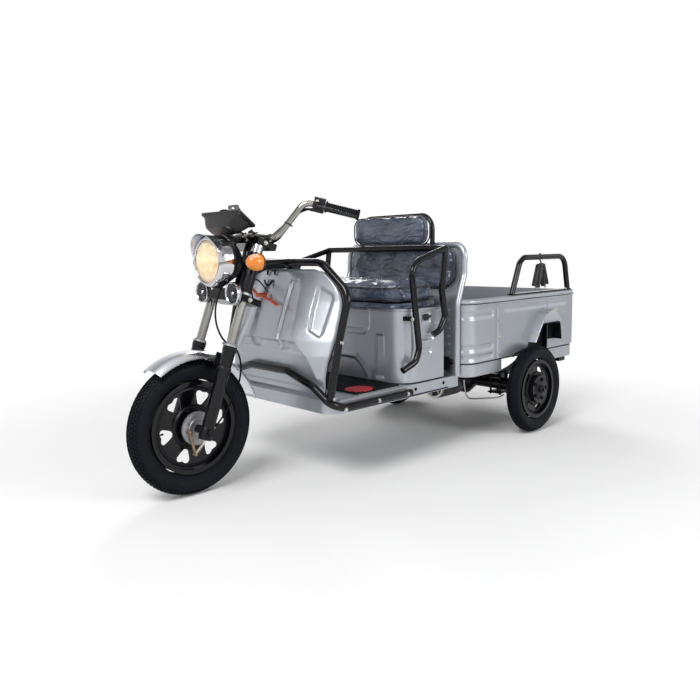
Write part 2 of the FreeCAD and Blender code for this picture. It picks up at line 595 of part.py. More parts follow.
# Rear axle: tube, differential, motor, brake backing plates and stub shafts
rear_z = size("rear_tyre_od") / 2
rear_mid = at_station(0, size("wheelbase"), rear_z)
plate_in = size("half_track") - HUB_HALF - size("seat_gap") - PLATE_THICK
axle_parts = [
    Part.makeCylinder(size("axle_tube_r"), 2 * plate_in + 4, rear_mid - X_AXIS * (plate_in + 2), X_AXIS),
    Part.makeCylinder(70, 96, rear_mid - X_AXIS * 48, X_AXIS),
    Part.makeCone(34, 70, 42, rear_mid - X_AXIS * 90, X_AXIS),
    Part.makeCone(70, 34, 42, rear_mid + X_AXIS * 48, X_AXIS),
    Part.makeCylinder(60, 190, rear_mid - Y_AXIS * 205, Y_AXIS),
]
stub = size("half_track") + HUB_HALF + 22
axle_parts.append(Part.makeCylinder(size("axle_r"), 2 * stub, rear_mid - X_AXIS * stub, X_AXIS))
for side in (-1, 1):
    plate_x = side * (plate_in + PLATE_THICK / 2) - PLATE_THICK / 2
    axle_parts.append(Part.makeCylinder(size("hub_r") - 3, PLATE_THICK, rear_mid + X_AXIS * plate_x, X_AXIS))
    nut_x = side * (size("half_track") + HUB_HALF + size("seat_gap") + 5) - 5
    axle_parts.append(Part.makeCylinder(14, 10, rear_mid + X_AXIS * nut_x, X_AXIS))
feature("rear_axle", axle_parts[0].multiFuse(axle_parts[1:]))

# Floor pan: a folded sheet, open underneath and behind, with a hole for the neck
WALL = "D.sheet_wall"
floor_run = f"(D.box_front - {5} - D.floor_front)"
pan_out = rounded_block("floor_pan_out", ("-D.floor_half", station("D.floor_front"),
                                          "D.floor_height - D.skirt_depth"),
                        ("2 * D.floor_half", floor_run, "D.skirt_depth"), "60")
pan_in = rounded_block("floor_pan_in", (f"-(D.floor_half - {WALL})", station(f"D.floor_front + {WALL}"),
                                        "D.floor_height - D.skirt_depth - 5"),
                       (f"2 * (D.floor_half - {WALL})", floor_run, f"D.skirt_depth - {WALL} + 5"), "57")
neck_hole = rod("neck_hole", ("0", station("459"), "D.floor_height - 30"), "z", f"{NECK_R} + 9", "60")
cut("floor_pan", cut("floor_pan_open", pan_out, pan_in), neck_hole)
MAT_THICK = 6
rounded_block("floor_mat", ("-(D.floor_half - 24)", station("D.floor_front + 150"), "D.floor_height"),
              ("2 * (D.floor_half - 24)", "D.seat_front - D.floor_front - 150 - 4", str(MAT_THICK)), "18")

# Leg shield: height, middle's station, middle's half width, edge's station, edge's half width
SHIELD = [(751, 428, 112, 436, 168), (700, 408, 116, 450, 258), (648, 388, 120, 452, 290),
          (505, 332, 143, 404, 290), (452, 340, 205, 384, 284), (380, 352, 252, 360, 268),
          (size("floor_height") + 0.3, 373, 240, 378, 256)]


def shield_loft(ahead, thick):
    """The leg shield's shape, moved ahead of its own face and as thick as asked."""
    rings = []
    for up, middle, middle_half, edge, edge_half in SHIELD:
        line = [(-edge_half, edge), (-middle_half, middle), (middle_half, middle), (edge_half, edge)]
        front = [(x, y - ahead) for x, y in line]
        back = [(x, y - ahead + thick) for x, y in reversed(line)]
        ring = [at_station(x, y, up) for x, y in front + back]
        rings.append(Part.makePolygon(ring + ring[:1]))
    return Part.makeLoft(rings, True, True)


feature("leg_shield", shield_loft(0, size("sheet_wall")))

# Crash bar: an upper hoop on a lower bar that runs back beside the floor
guard_r = size("guard_tube_r")
side_x = size("floor_half") + guard_r + size("seat_gap")
floor_tube_z = size("floor_height") - 22
LOWER_LEFT = [at_station(side_x, 745, floor_tube_z), at_station(side_x, 396, floor_tube_z),
              at_station(side_x - 10, 343, 300), at_station(245, 336, 352), at_station(110, 334, 392)]
lower_points = LOWER_LEFT + [FreeCAD.Vector(-p.x, p.y, p.z) for p in reversed(LOWER_LEFT)]
HOOP_LEFT = [at_station(side_x - 12, 344, 312), at_station(316, 396, 505), at_station(324, 438, 670),
             at_station(196, 430, guard_top)]
hoop_points = HOOP_LEFT + [FreeCAD.Vector(-p.x, p.y, p.z) for p in reversed(HOOP_LEFT)]
crash = bent_tube(lower_points, guard_r, 90).fuse(bent_tube(hoop_points, guard_r, 70))
crash = crash.cut(bent_tube(NECK, NECK_R + size("seat_gap"), 60))
for side in (-1, 1):
    for behind in (500, 690):
        tab_x = side * (size("floor_half") + size("seat_gap") + 3) - 3
        crash = crash.fuse(Part.makeBox(6, 24, 14, at_station(tab_x, behind, floor_tube_z - 6)))
feature("crash_bar", crash)

# Seat box: a hollow pressed shell with large front corners, open under the seat
box_low = "D.floor_height + D.seat_gap"
seat_run = "(D.seat_rear - D.seat_front)"
seat_out = rounded_block("seat_box_out", ("-D.seat_half", station("D.seat_front"), box_low),
                         ("2 * D.seat_half", seat_run, f"D.seat_top - ({box_low})"), "D.seat_corner")
seat_in = rounded_block("seat_box_in", (f"-(D.seat_half - {WALL})", station(f"D.seat_front + {WALL}"),
                                        f"{box_low} + {WALL}"),
                        (f"2 * (D.seat_half - {WALL})", f"{seat_run} - 2 * {WALL}", "D.seat_top"),
                        f"D.seat_corner - {WALL}")
cut("seat_box", seat_out, seat_in)
block("battery_block", ("-200", station("D.seat_rear - 200"), f"{box_low} + {WALL} + 0.2"), ("400", "180", "172"))
rounded_block("seat_board", ("-(D.cushion_half - 5)", station("D.cushion_front + 12"), "D.seat_top + D.seat_gap"),
              ("2 * (D.cushion_half - 5)", "D.cushion_rear - D.cushion_front - 12", "D.seat_board"), "56", False)
seat_top_z = "D.seat_top + 2 * D.seat_gap + D.seat_board"
rounded_block("seat_cushion", ("-D.cushion_half", station("D.cushion_front"), seat_top_z),
              ("2 * D.cushion_half", "D.cushion_rear - D.cushion_front", "D.cushion_thick"), "62", False)

# Handrails, each welded to the seat box's side and joined to the backrest's cross tube
rail_r = size("rail_tube_r")
rail_x = size("seat_half") + 2 * rail_r
end_x = size("seat_half") + rail_r + 0.6
CROSS_Z, CROSS_STATION = 818, 953
RAIL_TOP = [(end_x, 712, 366), (rail_x, 772, 392), (rail_x, 794, 440), (rail_x, 766, 630), (rail_x, 752, 738),
            (rail_x, 792, 775), (rail_x, CROSS_STATION, CROSS_Z)]
RAIL_LEG = [(rail_x, CROSS_STATION, CROSS_Z), (rail_x, 931, 657), (rail_x, 950, 550), (rail_x, 916, 500),
            (end_x, 890, 484)]
handrail = bent_tube([at_station(*p) for p in RAIL_TOP], rail_r, 45)
round_x, round_y = size("seat_half") - size("seat_corner"), size("seat_front") + size("seat_corner")
lug = Part.makeBox(rail_x - round_x, 26, 16, at_station(round_x, 756, 548))
lug = lug.cut(Part.makeCylinder(size("seat_corner") + size("seat_gap"), 40, at_station(round_x, round_y, 540)))
corner = at_station(rail_x, CROSS_STATION, CROSS_Z)
handrail = handrail.multiFuse([
    bent_tube([at_station(*p) for p in RAIL_LEG], rail_r, 45),
    Part.makeSphere(rail_r, corner),
    Part.makeCylinder(rail_r, rail_r, corner, -X_AXIS),
    lug])
feature("handrails", Part.makeCompound([handrail, mirrored(handrail)]))

cross_half = rail_x - rail_r - size("seat_gap")
cross = Part.makeCylinder(rail_r, 2 * cross_half, at_station(-cross_half, CROSS_STATION, CROSS_Z), X_AXIS)
hoop_half = size("back_half") - 4
BACK_LEFT = [at_station(hoop_half, CROSS_STATION + 3, CROSS_Z), at_station(hoop_half, 1037, CROSS_Z - 1),
             at_station(hoop_half, 1037, size("back_high"))]
back_points = BACK_LEFT + [FreeCAD.Vector(-p.x, p.y, p.z) for p in reversed(BACK_LEFT)]
feature("backrest_frame", cross.fuse(bent_tube(back_points, 10, [16, 60, 60, 16])))
upper = new_body("back_cushion_upper")
upper_pad = pad(upper, profile(upper, "back_face", "XZ_Plane", [
    ("-D.back_half", "D.back_low"), ("D.back_half", "D.back_low"),
    ("D.back_half", "D.back_high"), ("-D.back_half", "D.back_high")]), "48")
round_edges(upper, upper_pad, "42", lambda edge: along(edge, Y_AXIS) and edge.Vertexes[0].Z > 900)
place(upper, "0", station("1026.3"), "0")

# Headboard: a tube hoop with a sheet, and the padded lower back in front of the sheet
head_mid = size("head_half") - rail_r
lean_at, head_peak = size("head_station"), size("head_top") - rail_r
LEAN = [(lean_at, 590), (lean_at + 46, 712), (lean_at + 53, head_peak)]
HEAD_BEND = 53
HEAD_LEFT = [at_station(head_mid, lean_at, size("floor_height") + 0.3)]
HEAD_LEFT += [at_station(head_mid, behind, up) for behind, up in LEAN]
head_points = HEAD_LEFT + [FreeCAD.Vector(-p.x, p.y, p.z) for p in reversed(HEAD_LEFT)]
hoop = bent_tube(head_points, rail_r, HEAD_BEND)


def leaning_slab(half, line, thick, corner):
    """A slab in front of a leaning line, with rounded top corners."""
    back = [at_station(-half, behind, up) for behind, up in line]
    outline = back + [p - Y_AXIS * thick for p in reversed(back)]
    slab = Part.Face(Part.makePolygon(outline + outline[:1])).extrude(X_AXIS * 2 * half)
    low, high = line[0][1], line[-1][1]
    frame_box = Part.makeBox(2 * half, 400, high - low, at_station(-half, lean_at - 200, low))
    top_edges = [e for e in frame_box.Edges if along(e, Y_AXIS) and e.Vertexes[0].Z > high - 1]
    return slab.common(frame_box.makeFillet(corner, top_edges))


half_wall = size("sheet_wall") / 2
board_line = [(behind + half_wall, up) for behind, up in [(lean_at, 372)] + LEAN]
board = leaning_slab(head_mid, board_line, size("sheet_wall"), HEAD_BEND)
feature("headboard", hoop.fuse(board))
PAD_HALF, PAD_THICK, PAD_LOW, PAD_TOP = 303, 36, 652, 833
pad_gap = half_wall + size("seat_gap")
foot_slope = (LEAN[1][0] - LEAN[0][0]) / (LEAN[1][1] - LEAN[0][1])
pad_line = [(LEAN[0][0] + foot_slope * (PAD_LOW - LEAN[0][1]) - pad_gap, PAD_LOW),
            (LEAN[1][0] - pad_gap, LEAN[1][1]), (LEAN[2][0] - pad_gap, PAD_TOP)]
lower = leaning_slab(PAD_HALF, pad_line, PAD_THICK, 60)
feature("back_cushion_lower", lower.cut(bent_tube(head_points, rail_r + size("seat_gap"), HEAD_BEND)))

# Cargo box: a deck with a skirt, a front with rounded corners, two sides, each with a rolled rail
ARCH_RUN, ARCH_TOP, ARCH_IN = 188, 480, size("box_half") - 27
deck_z = "D.deck_height - D.deck_skirt"
deck_run = "(D.box_rear - D.box_front)"
deck_out = rounded_block("deck_out", ("-D.box_half", station("D.box_front"), deck_z),
                         ("2 * D.box_half", deck_run, "D.deck_skirt"), "D.box_corner")
deck_in = rounded_block("deck_in", (f"-(D.box_half - {WALL})", station(f"D.box_front + {WALL}"), f"{deck_z} - 5"),
                        (f"2 * (D.box_half - {WALL})", f"{deck_run} - 2 * {WALL}", f"D.deck_skirt - {WALL} + 5"),
                        f"D.box_corner - {WALL}")
deck = cut("deck_shell", deck_out, deck_in)
for i, low_x in enumerate((str(ARCH_IN), f"-D.box_half - 20")):
    span_x = f"D.box_half + 20 - {ARCH_IN}"
    notch = block(f"deck_notch_{i}", (low_x, station(f"D.wheelbase - {ARCH_RUN}"), f"{deck_z} - 10"),
                  (span_x, str(2 * ARCH_RUN), "D.deck_skirt + 30"))
    deck = cut(f"deck_notched_{i}", deck, notch)
rail_reach = "(D.beam_half + D.beam_width / 2 + D.seat_gap)"
rail_way = block("rail_way", (f"-{rail_reach}", station("D.box_front - 10"), f"{deck_z} - 10"),
                 (f"2 * {rail_reach}", "30", "D.floor_height - D.sheet_wall + D.seat_gap - (" + deck_z + " - 10)"))
deck = cut("deck_cut", deck, rail_way)
plate_half = f"({ARCH_IN} - D.sheet_wall - 3)"
deck_plate = rounded_block("deck_plate", (f"-{plate_half}", station("D.box_front + 5"), "D.deck_height - 1"),
                           (f"2 * {plate_half}", f"{deck_run} - 10", "1 + D.deck_plate"), "D.box_corner - 5")
fuse("cargo_floor", [deck, deck_plate])

wall_low, lip_low = "D.deck_height + D.seat_gap", "D.rail_height - D.rail_lip"
lip_half = "(D.box_half + 7)"


def ring_wall(label, half, front, thick, low, high, corner):
    """The upright wall of the box's plan, all round but open at the rear."""
    outside = rounded_block(label + "_outside", (f"-{half}", station(front), low),
                            (f"2 * {half}", f"D.box_rear - ({front})", f"({high}) - ({low})"), corner)
    inside = rounded_block(label + "_inside", (f"-({half} - {thick})", station(f"{front} + {thick}"), f"{low} - 5"),
                           (f"2 * ({half} - {thick})", "D.box_rear", f"({high}) - ({low}) + 10"),
                           f"{corner} - {thick}")
    return cut(label, outside, inside)


lip = ring_wall("rail_ring", lip_half, "D.box_front - 7", "D.rail_lip", lip_low, "D.rail_height", "(D.box_corner + 7)")
wall = ring_wall("wall_ring", "D.box_half", "D.box_front", WALL, wall_low, lip_low, "D.box_corner")
box_ring = fuse("box_ring", [lip, wall])
keep_front = block("keep_front", ("-500", station("D.box_front - 50"), "0"), ("1000", "D.box_seam - D.box_front + 50", "900"))
front_piece = doc.addObject("Part::MultiCommon", "cargo_front")
front_piece.Shapes = [box_ring, keep_front]
# Opening under the arch: behind the rear axle, height
ARCH_OPENING = [(-112, 325), (-95, 338), (14, 368), (24, 398), (58, 452), (76, 474), (184, 474), (184, 325)]
sides = []
for name, low_x in (("left", "100"), ("right", "-500")):
    keep = block(f"keep_{name}", (low_x, station("D.box_seam + 0.2"), "0"), ("400", "1000", "900"))
    panel = doc.addObject("Part::MultiCommon", f"panel_{name}")
    panel.Shapes = [box_ring, keep]
    sign = "" if name == "left" else "-"
    opening = new_body(f"arch_opening_{name}")
    corners = [(str(y), str(z)) for y, z in ARCH_OPENING]
    pad(opening, profile(opening, f"opening_{name}", "YZ_Plane", corners), "80", both=True)
    place(opening, f"{sign}D.box_half", station("D.wheelbase"), "0")
    sides.append(cut(f"side_{name}", panel, opening))
cargo_sides = doc.addObject("Part::Compound", "cargo_sides")
cargo_sides.Links = sides

# Wheel arches: a flare outside each side and a liner that closes the opening inside
arches = []
out_x, flare_reach = size("box_half") + size("seat_gap"), size("arch_out")
flare_out = [(13, 396), (57, 467), (93, 512), (141, 530), (173, 534), (236, 480), (258, 391)]
flare_in = [(232, 391), (218, 466), (205, 474), (74, 474), (56, 452), (21, 396)]
ring = [at_station(out_x, size("wheelbase") + y, z) for y, z in flare_out + flare_in]
flare = Part.Face(Part.makePolygon(ring + ring[:1])).extrude(X_AXIS * flare_reach)
liner_low = size("deck_height") + 0.3
liner_x = ARCH_IN - size("sheet_wall")
liner = Part.makeBox(size("box_half") - size("sheet_wall") - 0.3 - liner_x, 2 * (ARCH_RUN + 3),
                     ARCH_TOP + 3 - liner_low, at_station(liner_x, size("wheelbase") - ARCH_RUN - 3, liner_low))
liner = liner.cut(Part.makeBox(60, 2 * ARCH_RUN, ARCH_TOP - liner_low + 5,
                               at_station(ARCH_IN, size("wheelbase") - ARCH_RUN, liner_low - 5)))
feature("wheel_arches", Part.makeCompound([flare, liner, mirrored(flare), mirrored(liner)]))

# Arch rails: a hoop on a flat strip along each side's rail
hoop_x = size("box_half") - 13
rail_z = size("rail_height")
ARCH_HOOP = [(1400, rail_z + 3), (1468, 771), (1843, 771), (1880, rail_z + 3)]
arch_hoop = bent_tube([at_station(hoop_x, y, z) for y, z in ARCH_HOOP], rail_r, 62)
strip = Part.makeBox(28, 506, 6, at_station(hoop_x - 14, 1386, rail_z + 0.2))
arch_rail = arch_hoop.fuse(strip)
arch_rail = arch_rail.cut(Part.makeBox(60, 600, 40, at_station(hoop_x - 30, 1340, rail_z + 0.2 - 40)))
feature("arch_rails", Part.makeCompound([arch_rail, mirrored(arch_rail)]))

# Tailgate on two knuckles under its outer face
gate_low = size("deck_height") + size("gate_gap")
gate_in = size("box_rear") + size("gate_gap")
hinge_r, pin_r = size("hinge_r"), size("hinge_pin_r")
hinge_at = at_station(0, gate_rear + hinge_r, size("deck_height"))
gate = Part.makeBox(2 * (size("box_half") - 4), size("gate_thick"), size("rail_height") - gate_low,
                    at_station(-size("box_half") + 4, gate_in, gate_low))
panel_cut = Part.makeBox(2 * (size("box_half") - 34), 12, size("rail_height") - gate_low - 60,
                         at_station(-size("box_half") + 34, gate_rear - 12, gate_low + 28))
gate = gate.cut(panel_cut)
HINGE_X, KNUCKLE = 210, 30
bracket_parts = []
for side in (-1, 1):
    x0 = side * HINGE_X - KNUCKLE / 2
    leaf = Part.makeBox(KNUCKLE, 4, 48, at_station(x0, gate_rear, size("deck_height") - 4))
    knuckle = Part.makeCylinder(hinge_r, KNUCKLE, hinge_at + X_AXIS * x0, X_AXIS)
    gate = gate.fuse(leaf).fuse(knuckle)
    gate = gate.cut(Part.makeCylinder(pin_r + size("running_gap"), KNUCKLE + 2, hinge_at + X_AXIS * (x0 - 1), X_AXIS))
    for edge in (-1, 1):
        ear_x = side * HINGE_X + edge * (KNUCKLE / 2 + size("seat_gap") + 5) - 5
        ear = Part.makeCylinder(hinge_r, 10, hinge_at + X_AXIS * ear_x, X_AXIS)
        arm = Part.makeBox(10, gate_rear + hinge_r - size("box_rear"), 8,
                           at_station(ear_x, size("box_rear") + 0.2, size("deck_height") - 10))
        bracket_parts += [ear, arm]
    pin = Part.makeCylinder(pin_r, KNUCKLE + 20, hinge_at + X_AXIS * (x0 - 10), X_AXIS)
    bracket_parts.append(pin)
feature("tailgate", gate)

# Rear bumper under the deck's skirt, with the tailgate's hinge brackets above it
bumper = beam(-330, 330, size("box_rear") - 46, size("box_rear") + 8, 262, 290.8)
upright = beam(-300, 300, size("box_rear") + 0.2, size("box_rear") + 8, 280, size("deck_height") - 4)
feature("rear_bumper", bumper.multiFuse([upright] + bracket_parts))
lamps = []
for side in (-1, 1):
    lamp_x = side * 329 - 25
    lamps.append(Part.makeBox(50, 14, 44, at_station(lamp_x, size("box_rear") + 0.3, 294)))
feature("tail_lamps", Part.makeCompound([shape.makeFillet(5, shape.Edges) for shape in lamps]))

# Parking brake lever on a pivot post that stands on the leg shield's face
LEVER = [(-120, 352, 681), (-77, 352, 656), (-4, 352, 640), (36, 352, 623)]
brake = bent_tube([at_station(*p) for p in LEVER], 5.5, 40)
post = Part.makeCylinder(8, 60, at_station(-77, 346, 655), Y_AXIS)
brake = brake.fuse(post.cut(shield_loft(size("seat_gap"), 120)))
feature("parking_brake_lever", brake)

NODES = [
    "chassis_frame", "floor_pan", "floor_mat", "leg_shield", "crash_bar", "seat_box", "battery_block",
    "handrails", "backrest_frame", "back_cushion_upper", "headboard", "back_cushion_lower", "cargo_floor",
    "cargo_front", "cargo_sides", "arch_rails", "wheel_arches", "rear_bumper",
    "tail_lamps", "rear_axle", "parking_brake_lever", "steering_stem", "fork_tubes", "fork_sliders",
    "front_axle", "brake_plate", "headlamp_bowl", "headlamp_bezel", "headlamp_lens", "twin_lamps",
    "turn_signals", "instrument_pod", "handlebar", "grips", "switch_boxes", "front_fender", "front_tyre",
    "front_rim", "rear_tyre_left", "rear_rim_left", "rear_tyre_right", "rear_rim_right", "seat_board",
    "seat_cushion", "tailgate",
]
doc.recompute()
failed = [obj.Name for obj in doc.Objects if {"Invalid", "Error"} & set(obj.State)]
if failed:
    raise RuntimeError(f"objects that failed: {failed}")
os.makedirs("parts", exist_ok=True)
for name in NODES:
    node = doc.getObjectsByLabel(name)[0]
    if node.Shape.isNull() or not node.Shape.isValid():
        raise RuntimeError(f"{name} has no valid shape")
for name in NODES:
    doc.getObjectsByLabel(name)[0].Shape.exportStep(f"parts/{name}.step")
print("mirror", [round(v / 1000, 5) for v in mirror_at], [round(v, 5) for v in mirror_up])
whole = Part.makeCompound([doc.getObjectsByLabel(name)[0].Shape for name in NODES]).BoundBox
print("box", [round(v, 1) for v in (whole.XMin, whole.XMax, whole.YMin, whole.YMax, whole.ZMin, whole.ZMax)])
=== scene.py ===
import math

import bmesh
import bpy
from mathutils import Matrix, Vector, noise
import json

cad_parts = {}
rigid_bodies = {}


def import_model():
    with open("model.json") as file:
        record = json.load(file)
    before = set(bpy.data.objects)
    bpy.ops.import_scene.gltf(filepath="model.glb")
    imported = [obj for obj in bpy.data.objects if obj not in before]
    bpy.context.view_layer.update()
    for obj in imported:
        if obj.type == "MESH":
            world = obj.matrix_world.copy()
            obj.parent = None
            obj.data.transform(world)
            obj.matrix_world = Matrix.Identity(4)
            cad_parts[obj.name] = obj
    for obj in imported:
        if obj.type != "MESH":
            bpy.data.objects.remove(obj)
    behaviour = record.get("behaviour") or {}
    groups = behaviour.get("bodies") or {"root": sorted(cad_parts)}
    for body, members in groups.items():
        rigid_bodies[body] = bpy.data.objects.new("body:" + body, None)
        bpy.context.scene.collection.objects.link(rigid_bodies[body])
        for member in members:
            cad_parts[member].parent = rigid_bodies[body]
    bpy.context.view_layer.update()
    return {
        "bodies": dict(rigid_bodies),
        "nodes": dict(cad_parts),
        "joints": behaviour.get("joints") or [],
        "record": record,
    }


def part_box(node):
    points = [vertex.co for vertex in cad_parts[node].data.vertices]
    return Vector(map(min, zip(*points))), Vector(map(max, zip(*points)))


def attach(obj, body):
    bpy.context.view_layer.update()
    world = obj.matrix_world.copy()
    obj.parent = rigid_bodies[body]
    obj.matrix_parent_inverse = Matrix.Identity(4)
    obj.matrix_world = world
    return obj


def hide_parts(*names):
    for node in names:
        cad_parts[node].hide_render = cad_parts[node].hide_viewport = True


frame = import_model()
nodes = frame["nodes"]
AXLE_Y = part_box("front_tyre")[0][1] + (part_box("front_tyre")[1][2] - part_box("front_tyre")[0][2]) / 2

# The studio: a white floor that fades into a white surround, and large soft lamps.
# The camera stands where the photograph was taken from, a little above the seat.
scene = bpy.context.scene
scene.view_settings.view_transform = "Standard"
CAMERA_AT = Vector((1.9965, AXLE_Y - 1.1772, 0.8182))
AZIMUTH, PITCH, ROLL = math.radians(47.081), math.radians(6.671), math.radians(-0.997)
FOCAL_PX, CENTRE_X, CENTRE_Y, PICTURE_PX, SENSOR = 682.55, 336.51, 329.83, 700, 36
look = Vector((-math.sin(AZIMUTH) * math.cos(PITCH), math.cos(AZIMUTH) * math.cos(PITCH), -math.sin(PITCH)))
level = Vector((math.cos(AZIMUTH), math.sin(AZIMUTH), 0))
up = level.cross(look)
across = math.cos(ROLL) * level + math.sin(ROLL) * up
upward = math.cos(ROLL) * up - math.sin(ROLL) * level
camera = bpy.data.objects.new("camera", bpy.data.cameras.new("camera"))
scene.collection.objects.link(camera)
camera.matrix_world = Matrix.Translation(CAMERA_AT) @ Matrix((across, upward, -look)).transposed().to_4x4()
camera.data.sensor_width = SENSOR
camera.data.lens = FOCAL_PX / PICTURE_PX * SENSOR
camera.data.shift_x = (PICTURE_PX / 2 - CENTRE_X) / PICTURE_PX
camera.data.shift_y = (CENTRE_Y - PICTURE_PX / 2) / PICTURE_PX
scene.camera = camera


def lamp(name, at, aim, size, watts, colour=(1, 1, 1)):
    """A round soft lamp that looks at a point."""
    made = bpy.data.objects.new(name, bpy.data.lights.new(name, "AREA"))
    made.data.shape, made.data.size, made.data.energy, made.data.color = "DISK", size, watts, colour
    towards = (Vector(aim) - Vector(at)).to_track_quat("-Z", "Y").to_matrix().to_4x4()
    made.matrix_world = Matrix.Translation(at) @ towards
    scene.collection.objects.link(made)


lamp("key_lamp", (1.2, -3.4, 3.8), (0, 0, 0.4), 2.2, 150)
lamp("side_lamp", (4.0, 0.8, 1.9), (0, 0, 0.4), 1.6, 52)
lamp("back_lamp", (-3.2, 2.6, 3.4), (0, 0, 0.5), 2.4, 80)


def linked(tree, kind, output, socket, **values):
    """A new node: its settings and sockets by name, and one of its outputs linked to a socket."""
    made = tree.nodes.new(kind)
    for key, value in values.items():
        if isinstance(value, bpy.types.NodeSocket):
            tree.links.new(value, made.inputs[key.replace("_", " ")])
        elif key.islower():
            setattr(made, key, value)
        else:
            made.inputs[key.replace("_", " ")].default_value = value
    if socket:
        tree.links.new(made.outputs[output], socket)
    return made


def stepped(ramp, *stops):
    """Set a colour ramp's stops: each a position and a grey or a colour."""
    points = ramp.color_ramp.elements
    while len(points) < len(stops):
        points.new(0.5)
    for point, (position, value) in zip(points, stops):
        point.position = position
        point.color = (*value, 1) if isinstance(value, tuple) else (value, value, value, 1)


world = bpy.data.worlds.new("surround")
scene.world = world
world.use_nodes = True
tree = world.node_tree
backdrop = tree.nodes["Background"]
seen_path = tree.nodes.new("ShaderNodeLightPath")
glossy = linked(tree, "ShaderNodeMath", 0, None, operation="MAXIMUM")
tree.links.new(seen_path.outputs["Is Glossy Ray"], glossy.inputs[0])
tree.links.new(seen_path.outputs["Is Transmission Ray"], glossy.inputs[1])
seen = linked(tree, "ShaderNodeMath", 0, None, operation="MAXIMUM")
tree.links.new(seen_path.outputs["Is Camera Ray"], seen.inputs[0])
tree.links.new(glossy.outputs[0], seen.inputs[1])
linked(tree, "ShaderNodeMapRange", 0, backdrop.inputs["Strength"], Value=seen.outputs[0], To_Min=0.6,
       To_Max=1.0)
direction = tree.nodes.new("ShaderNodeTexCoord")
height = tree.nodes.new("ShaderNodeSeparateXYZ")
tree.links.new(direction.outputs["Generated"], height.inputs[0])
sky = linked(tree, "ShaderNodeValToRGB", 0, backdrop.inputs["Color"], Fac=height.outputs["Z"])
stepped(sky, (0.0, 1.0), (0.36, 1.0), (0.5, 0.42), (0.75, 0.3), (0.92, 0.75))

FLOOR_SIZE = 14
floor_mesh = bmesh.new()
bmesh.ops.create_grid(floor_mesh, x_segments=1, y_segments=1, size=FLOOR_SIZE)
floor = bpy.data.objects.new("studio_floor", bpy.data.meshes.new("studio_floor"))
floor_mesh.to_mesh(floor.data)
scene.collection.objects.link(floor)
paper = bpy.data.materials.new("floor_paper")
paper.use_nodes = True
tree = paper.node_tree
tree.nodes["Principled BSDF"].inputs["Base Color"].default_value = (0.94, 0.94, 0.94, 1)
tree.nodes["Principled BSDF"].inputs["Roughness"].default_value = 0.9
place_on = tree.nodes.new("ShaderNodeTexCoord")
away = linked(tree, "ShaderNodeVectorMath", "Value", None, operation="LENGTH")
tree.links.new(place_on.outputs["Object"], away.inputs[0])
fade = linked(tree, "ShaderNodeMapRange", 0, None, interpolation_type="SMOOTHSTEP",
              Value=away.outputs["Value"], From_Min=0.9, From_Max=2.3)
rays = tree.nodes.new("ShaderNodeLightPath")
shown = linked(tree, "ShaderNodeMath", 0, None, operation="MULTIPLY")
tree.links.new(fade.outputs[0], shown.inputs[0])
tree.links.new(rays.outputs["Is Camera Ray"], shown.inputs[1])
white = tree.nodes.new("ShaderNodeEmission")
blend = tree.nodes.new("ShaderNodeMixShader")
tree.links.new(shown.outputs[0], blend.inputs[0])
tree.links.new(tree.nodes["Principled BSDF"].outputs[0], blend.inputs[1])
tree.links.new(white.outputs[0], blend.inputs[2])
tree.links.new(blend.outputs[0], tree.nodes["Material Output"].inputs[0])
floor.data.materials.append(paper)


# Frame, floor pan, headboard, cargo floor and tailgate: welded tube and folded sheet, as the CAD has them.
# The tubes are stove enamelled in gloss black, the sheets sprayed in silver with a thin clear coat.
def finish(name, colour, second, rough, metallic=0.0, coat=0.0, grain=90, bump=0.1, depth=0.0002,
           spread=(0.35, 0.65), **more):
    """Two colours and two roughness values mixed by a noise, with a bump of finer grain."""
    made = bpy.data.materials.new(name)
    made.use_nodes = True
    tree = made.node_tree
    shader = tree.nodes["Principled BSDF"]
    for key, value in {"Metallic": metallic, "Coat Weight": coat, **more}.items():
        shader.inputs[key.replace("_", " ")].default_value = value
    space = tree.nodes.new("ShaderNodeTexCoord").outputs["Object"]
    broad = linked(tree, "ShaderNodeTexNoise", 0, None, Vector=space, Scale=grain / 8, Detail=6.0)
    mix = linked(tree, "ShaderNodeValToRGB", 0, shader.inputs["Base Color"], Fac=broad.outputs[0])
    stepped(mix, (spread[0], colour), (spread[1], second))
    linked(tree, "ShaderNodeMapRange", 0, shader.inputs["Roughness"], Value=broad.outputs[0],
           From_Min=spread[0], From_Max=spread[1], To_Min=rough[0], To_Max=rough[1])
    if bump:
        fine = linked(tree, "ShaderNodeTexNoise", 0, None, Vector=space, Scale=grain * 4.0, Detail=3.0)
        linked(tree, "ShaderNodeBump", 0, shader.inputs["Normal"], Height=fine.outputs[0], Strength=bump,
               Distance=depth)
    return made


silver = finish("silver_paint", (0.41, 0.431, 0.47), (0.446, 0.467, 0.506), (0.3, 0.37), 0.66, 0.15, 30, 0.05)
black = finish("black_gloss", (0.002, 0.002, 0.003), (0.004, 0.004, 0.006), (0.1, 0.17), 0, 0.0, 60, 0.08,
               Specular_IOR_Level=0.32)


def show(material, *names):
    """Give a material to CAD nodes."""
    for name in names:
        slots = nodes[name].data.materials
        if slots:
            slots[0] = material
        else:
            slots.append(material)


show(silver, "floor_pan", "headboard", "cargo_floor", "tailgate")
show(black, "chassis_frame", "crash_bar", "handrails", "backrest_frame", "arch_rails", "rear_bumper",
     "rear_axle", "steering_stem", "fork_sliders", "front_rim", "rear_rim_left", "rear_rim_right")

# Tyres: a rubber carcass with a round crown, rows of small moulded tread blocks and ribbed sidewalls.
# Each is stretched over its black rim, and is one piece, with its valve beside the hub.
rubber = finish("tyre_rubber", (0.003, 0.0035, 0.006), (0.007, 0.008, 0.012), (0.5, 0.72), 0, 0, 120, 0.35,
                0.0004, Specular_IOR_Level=0.13)


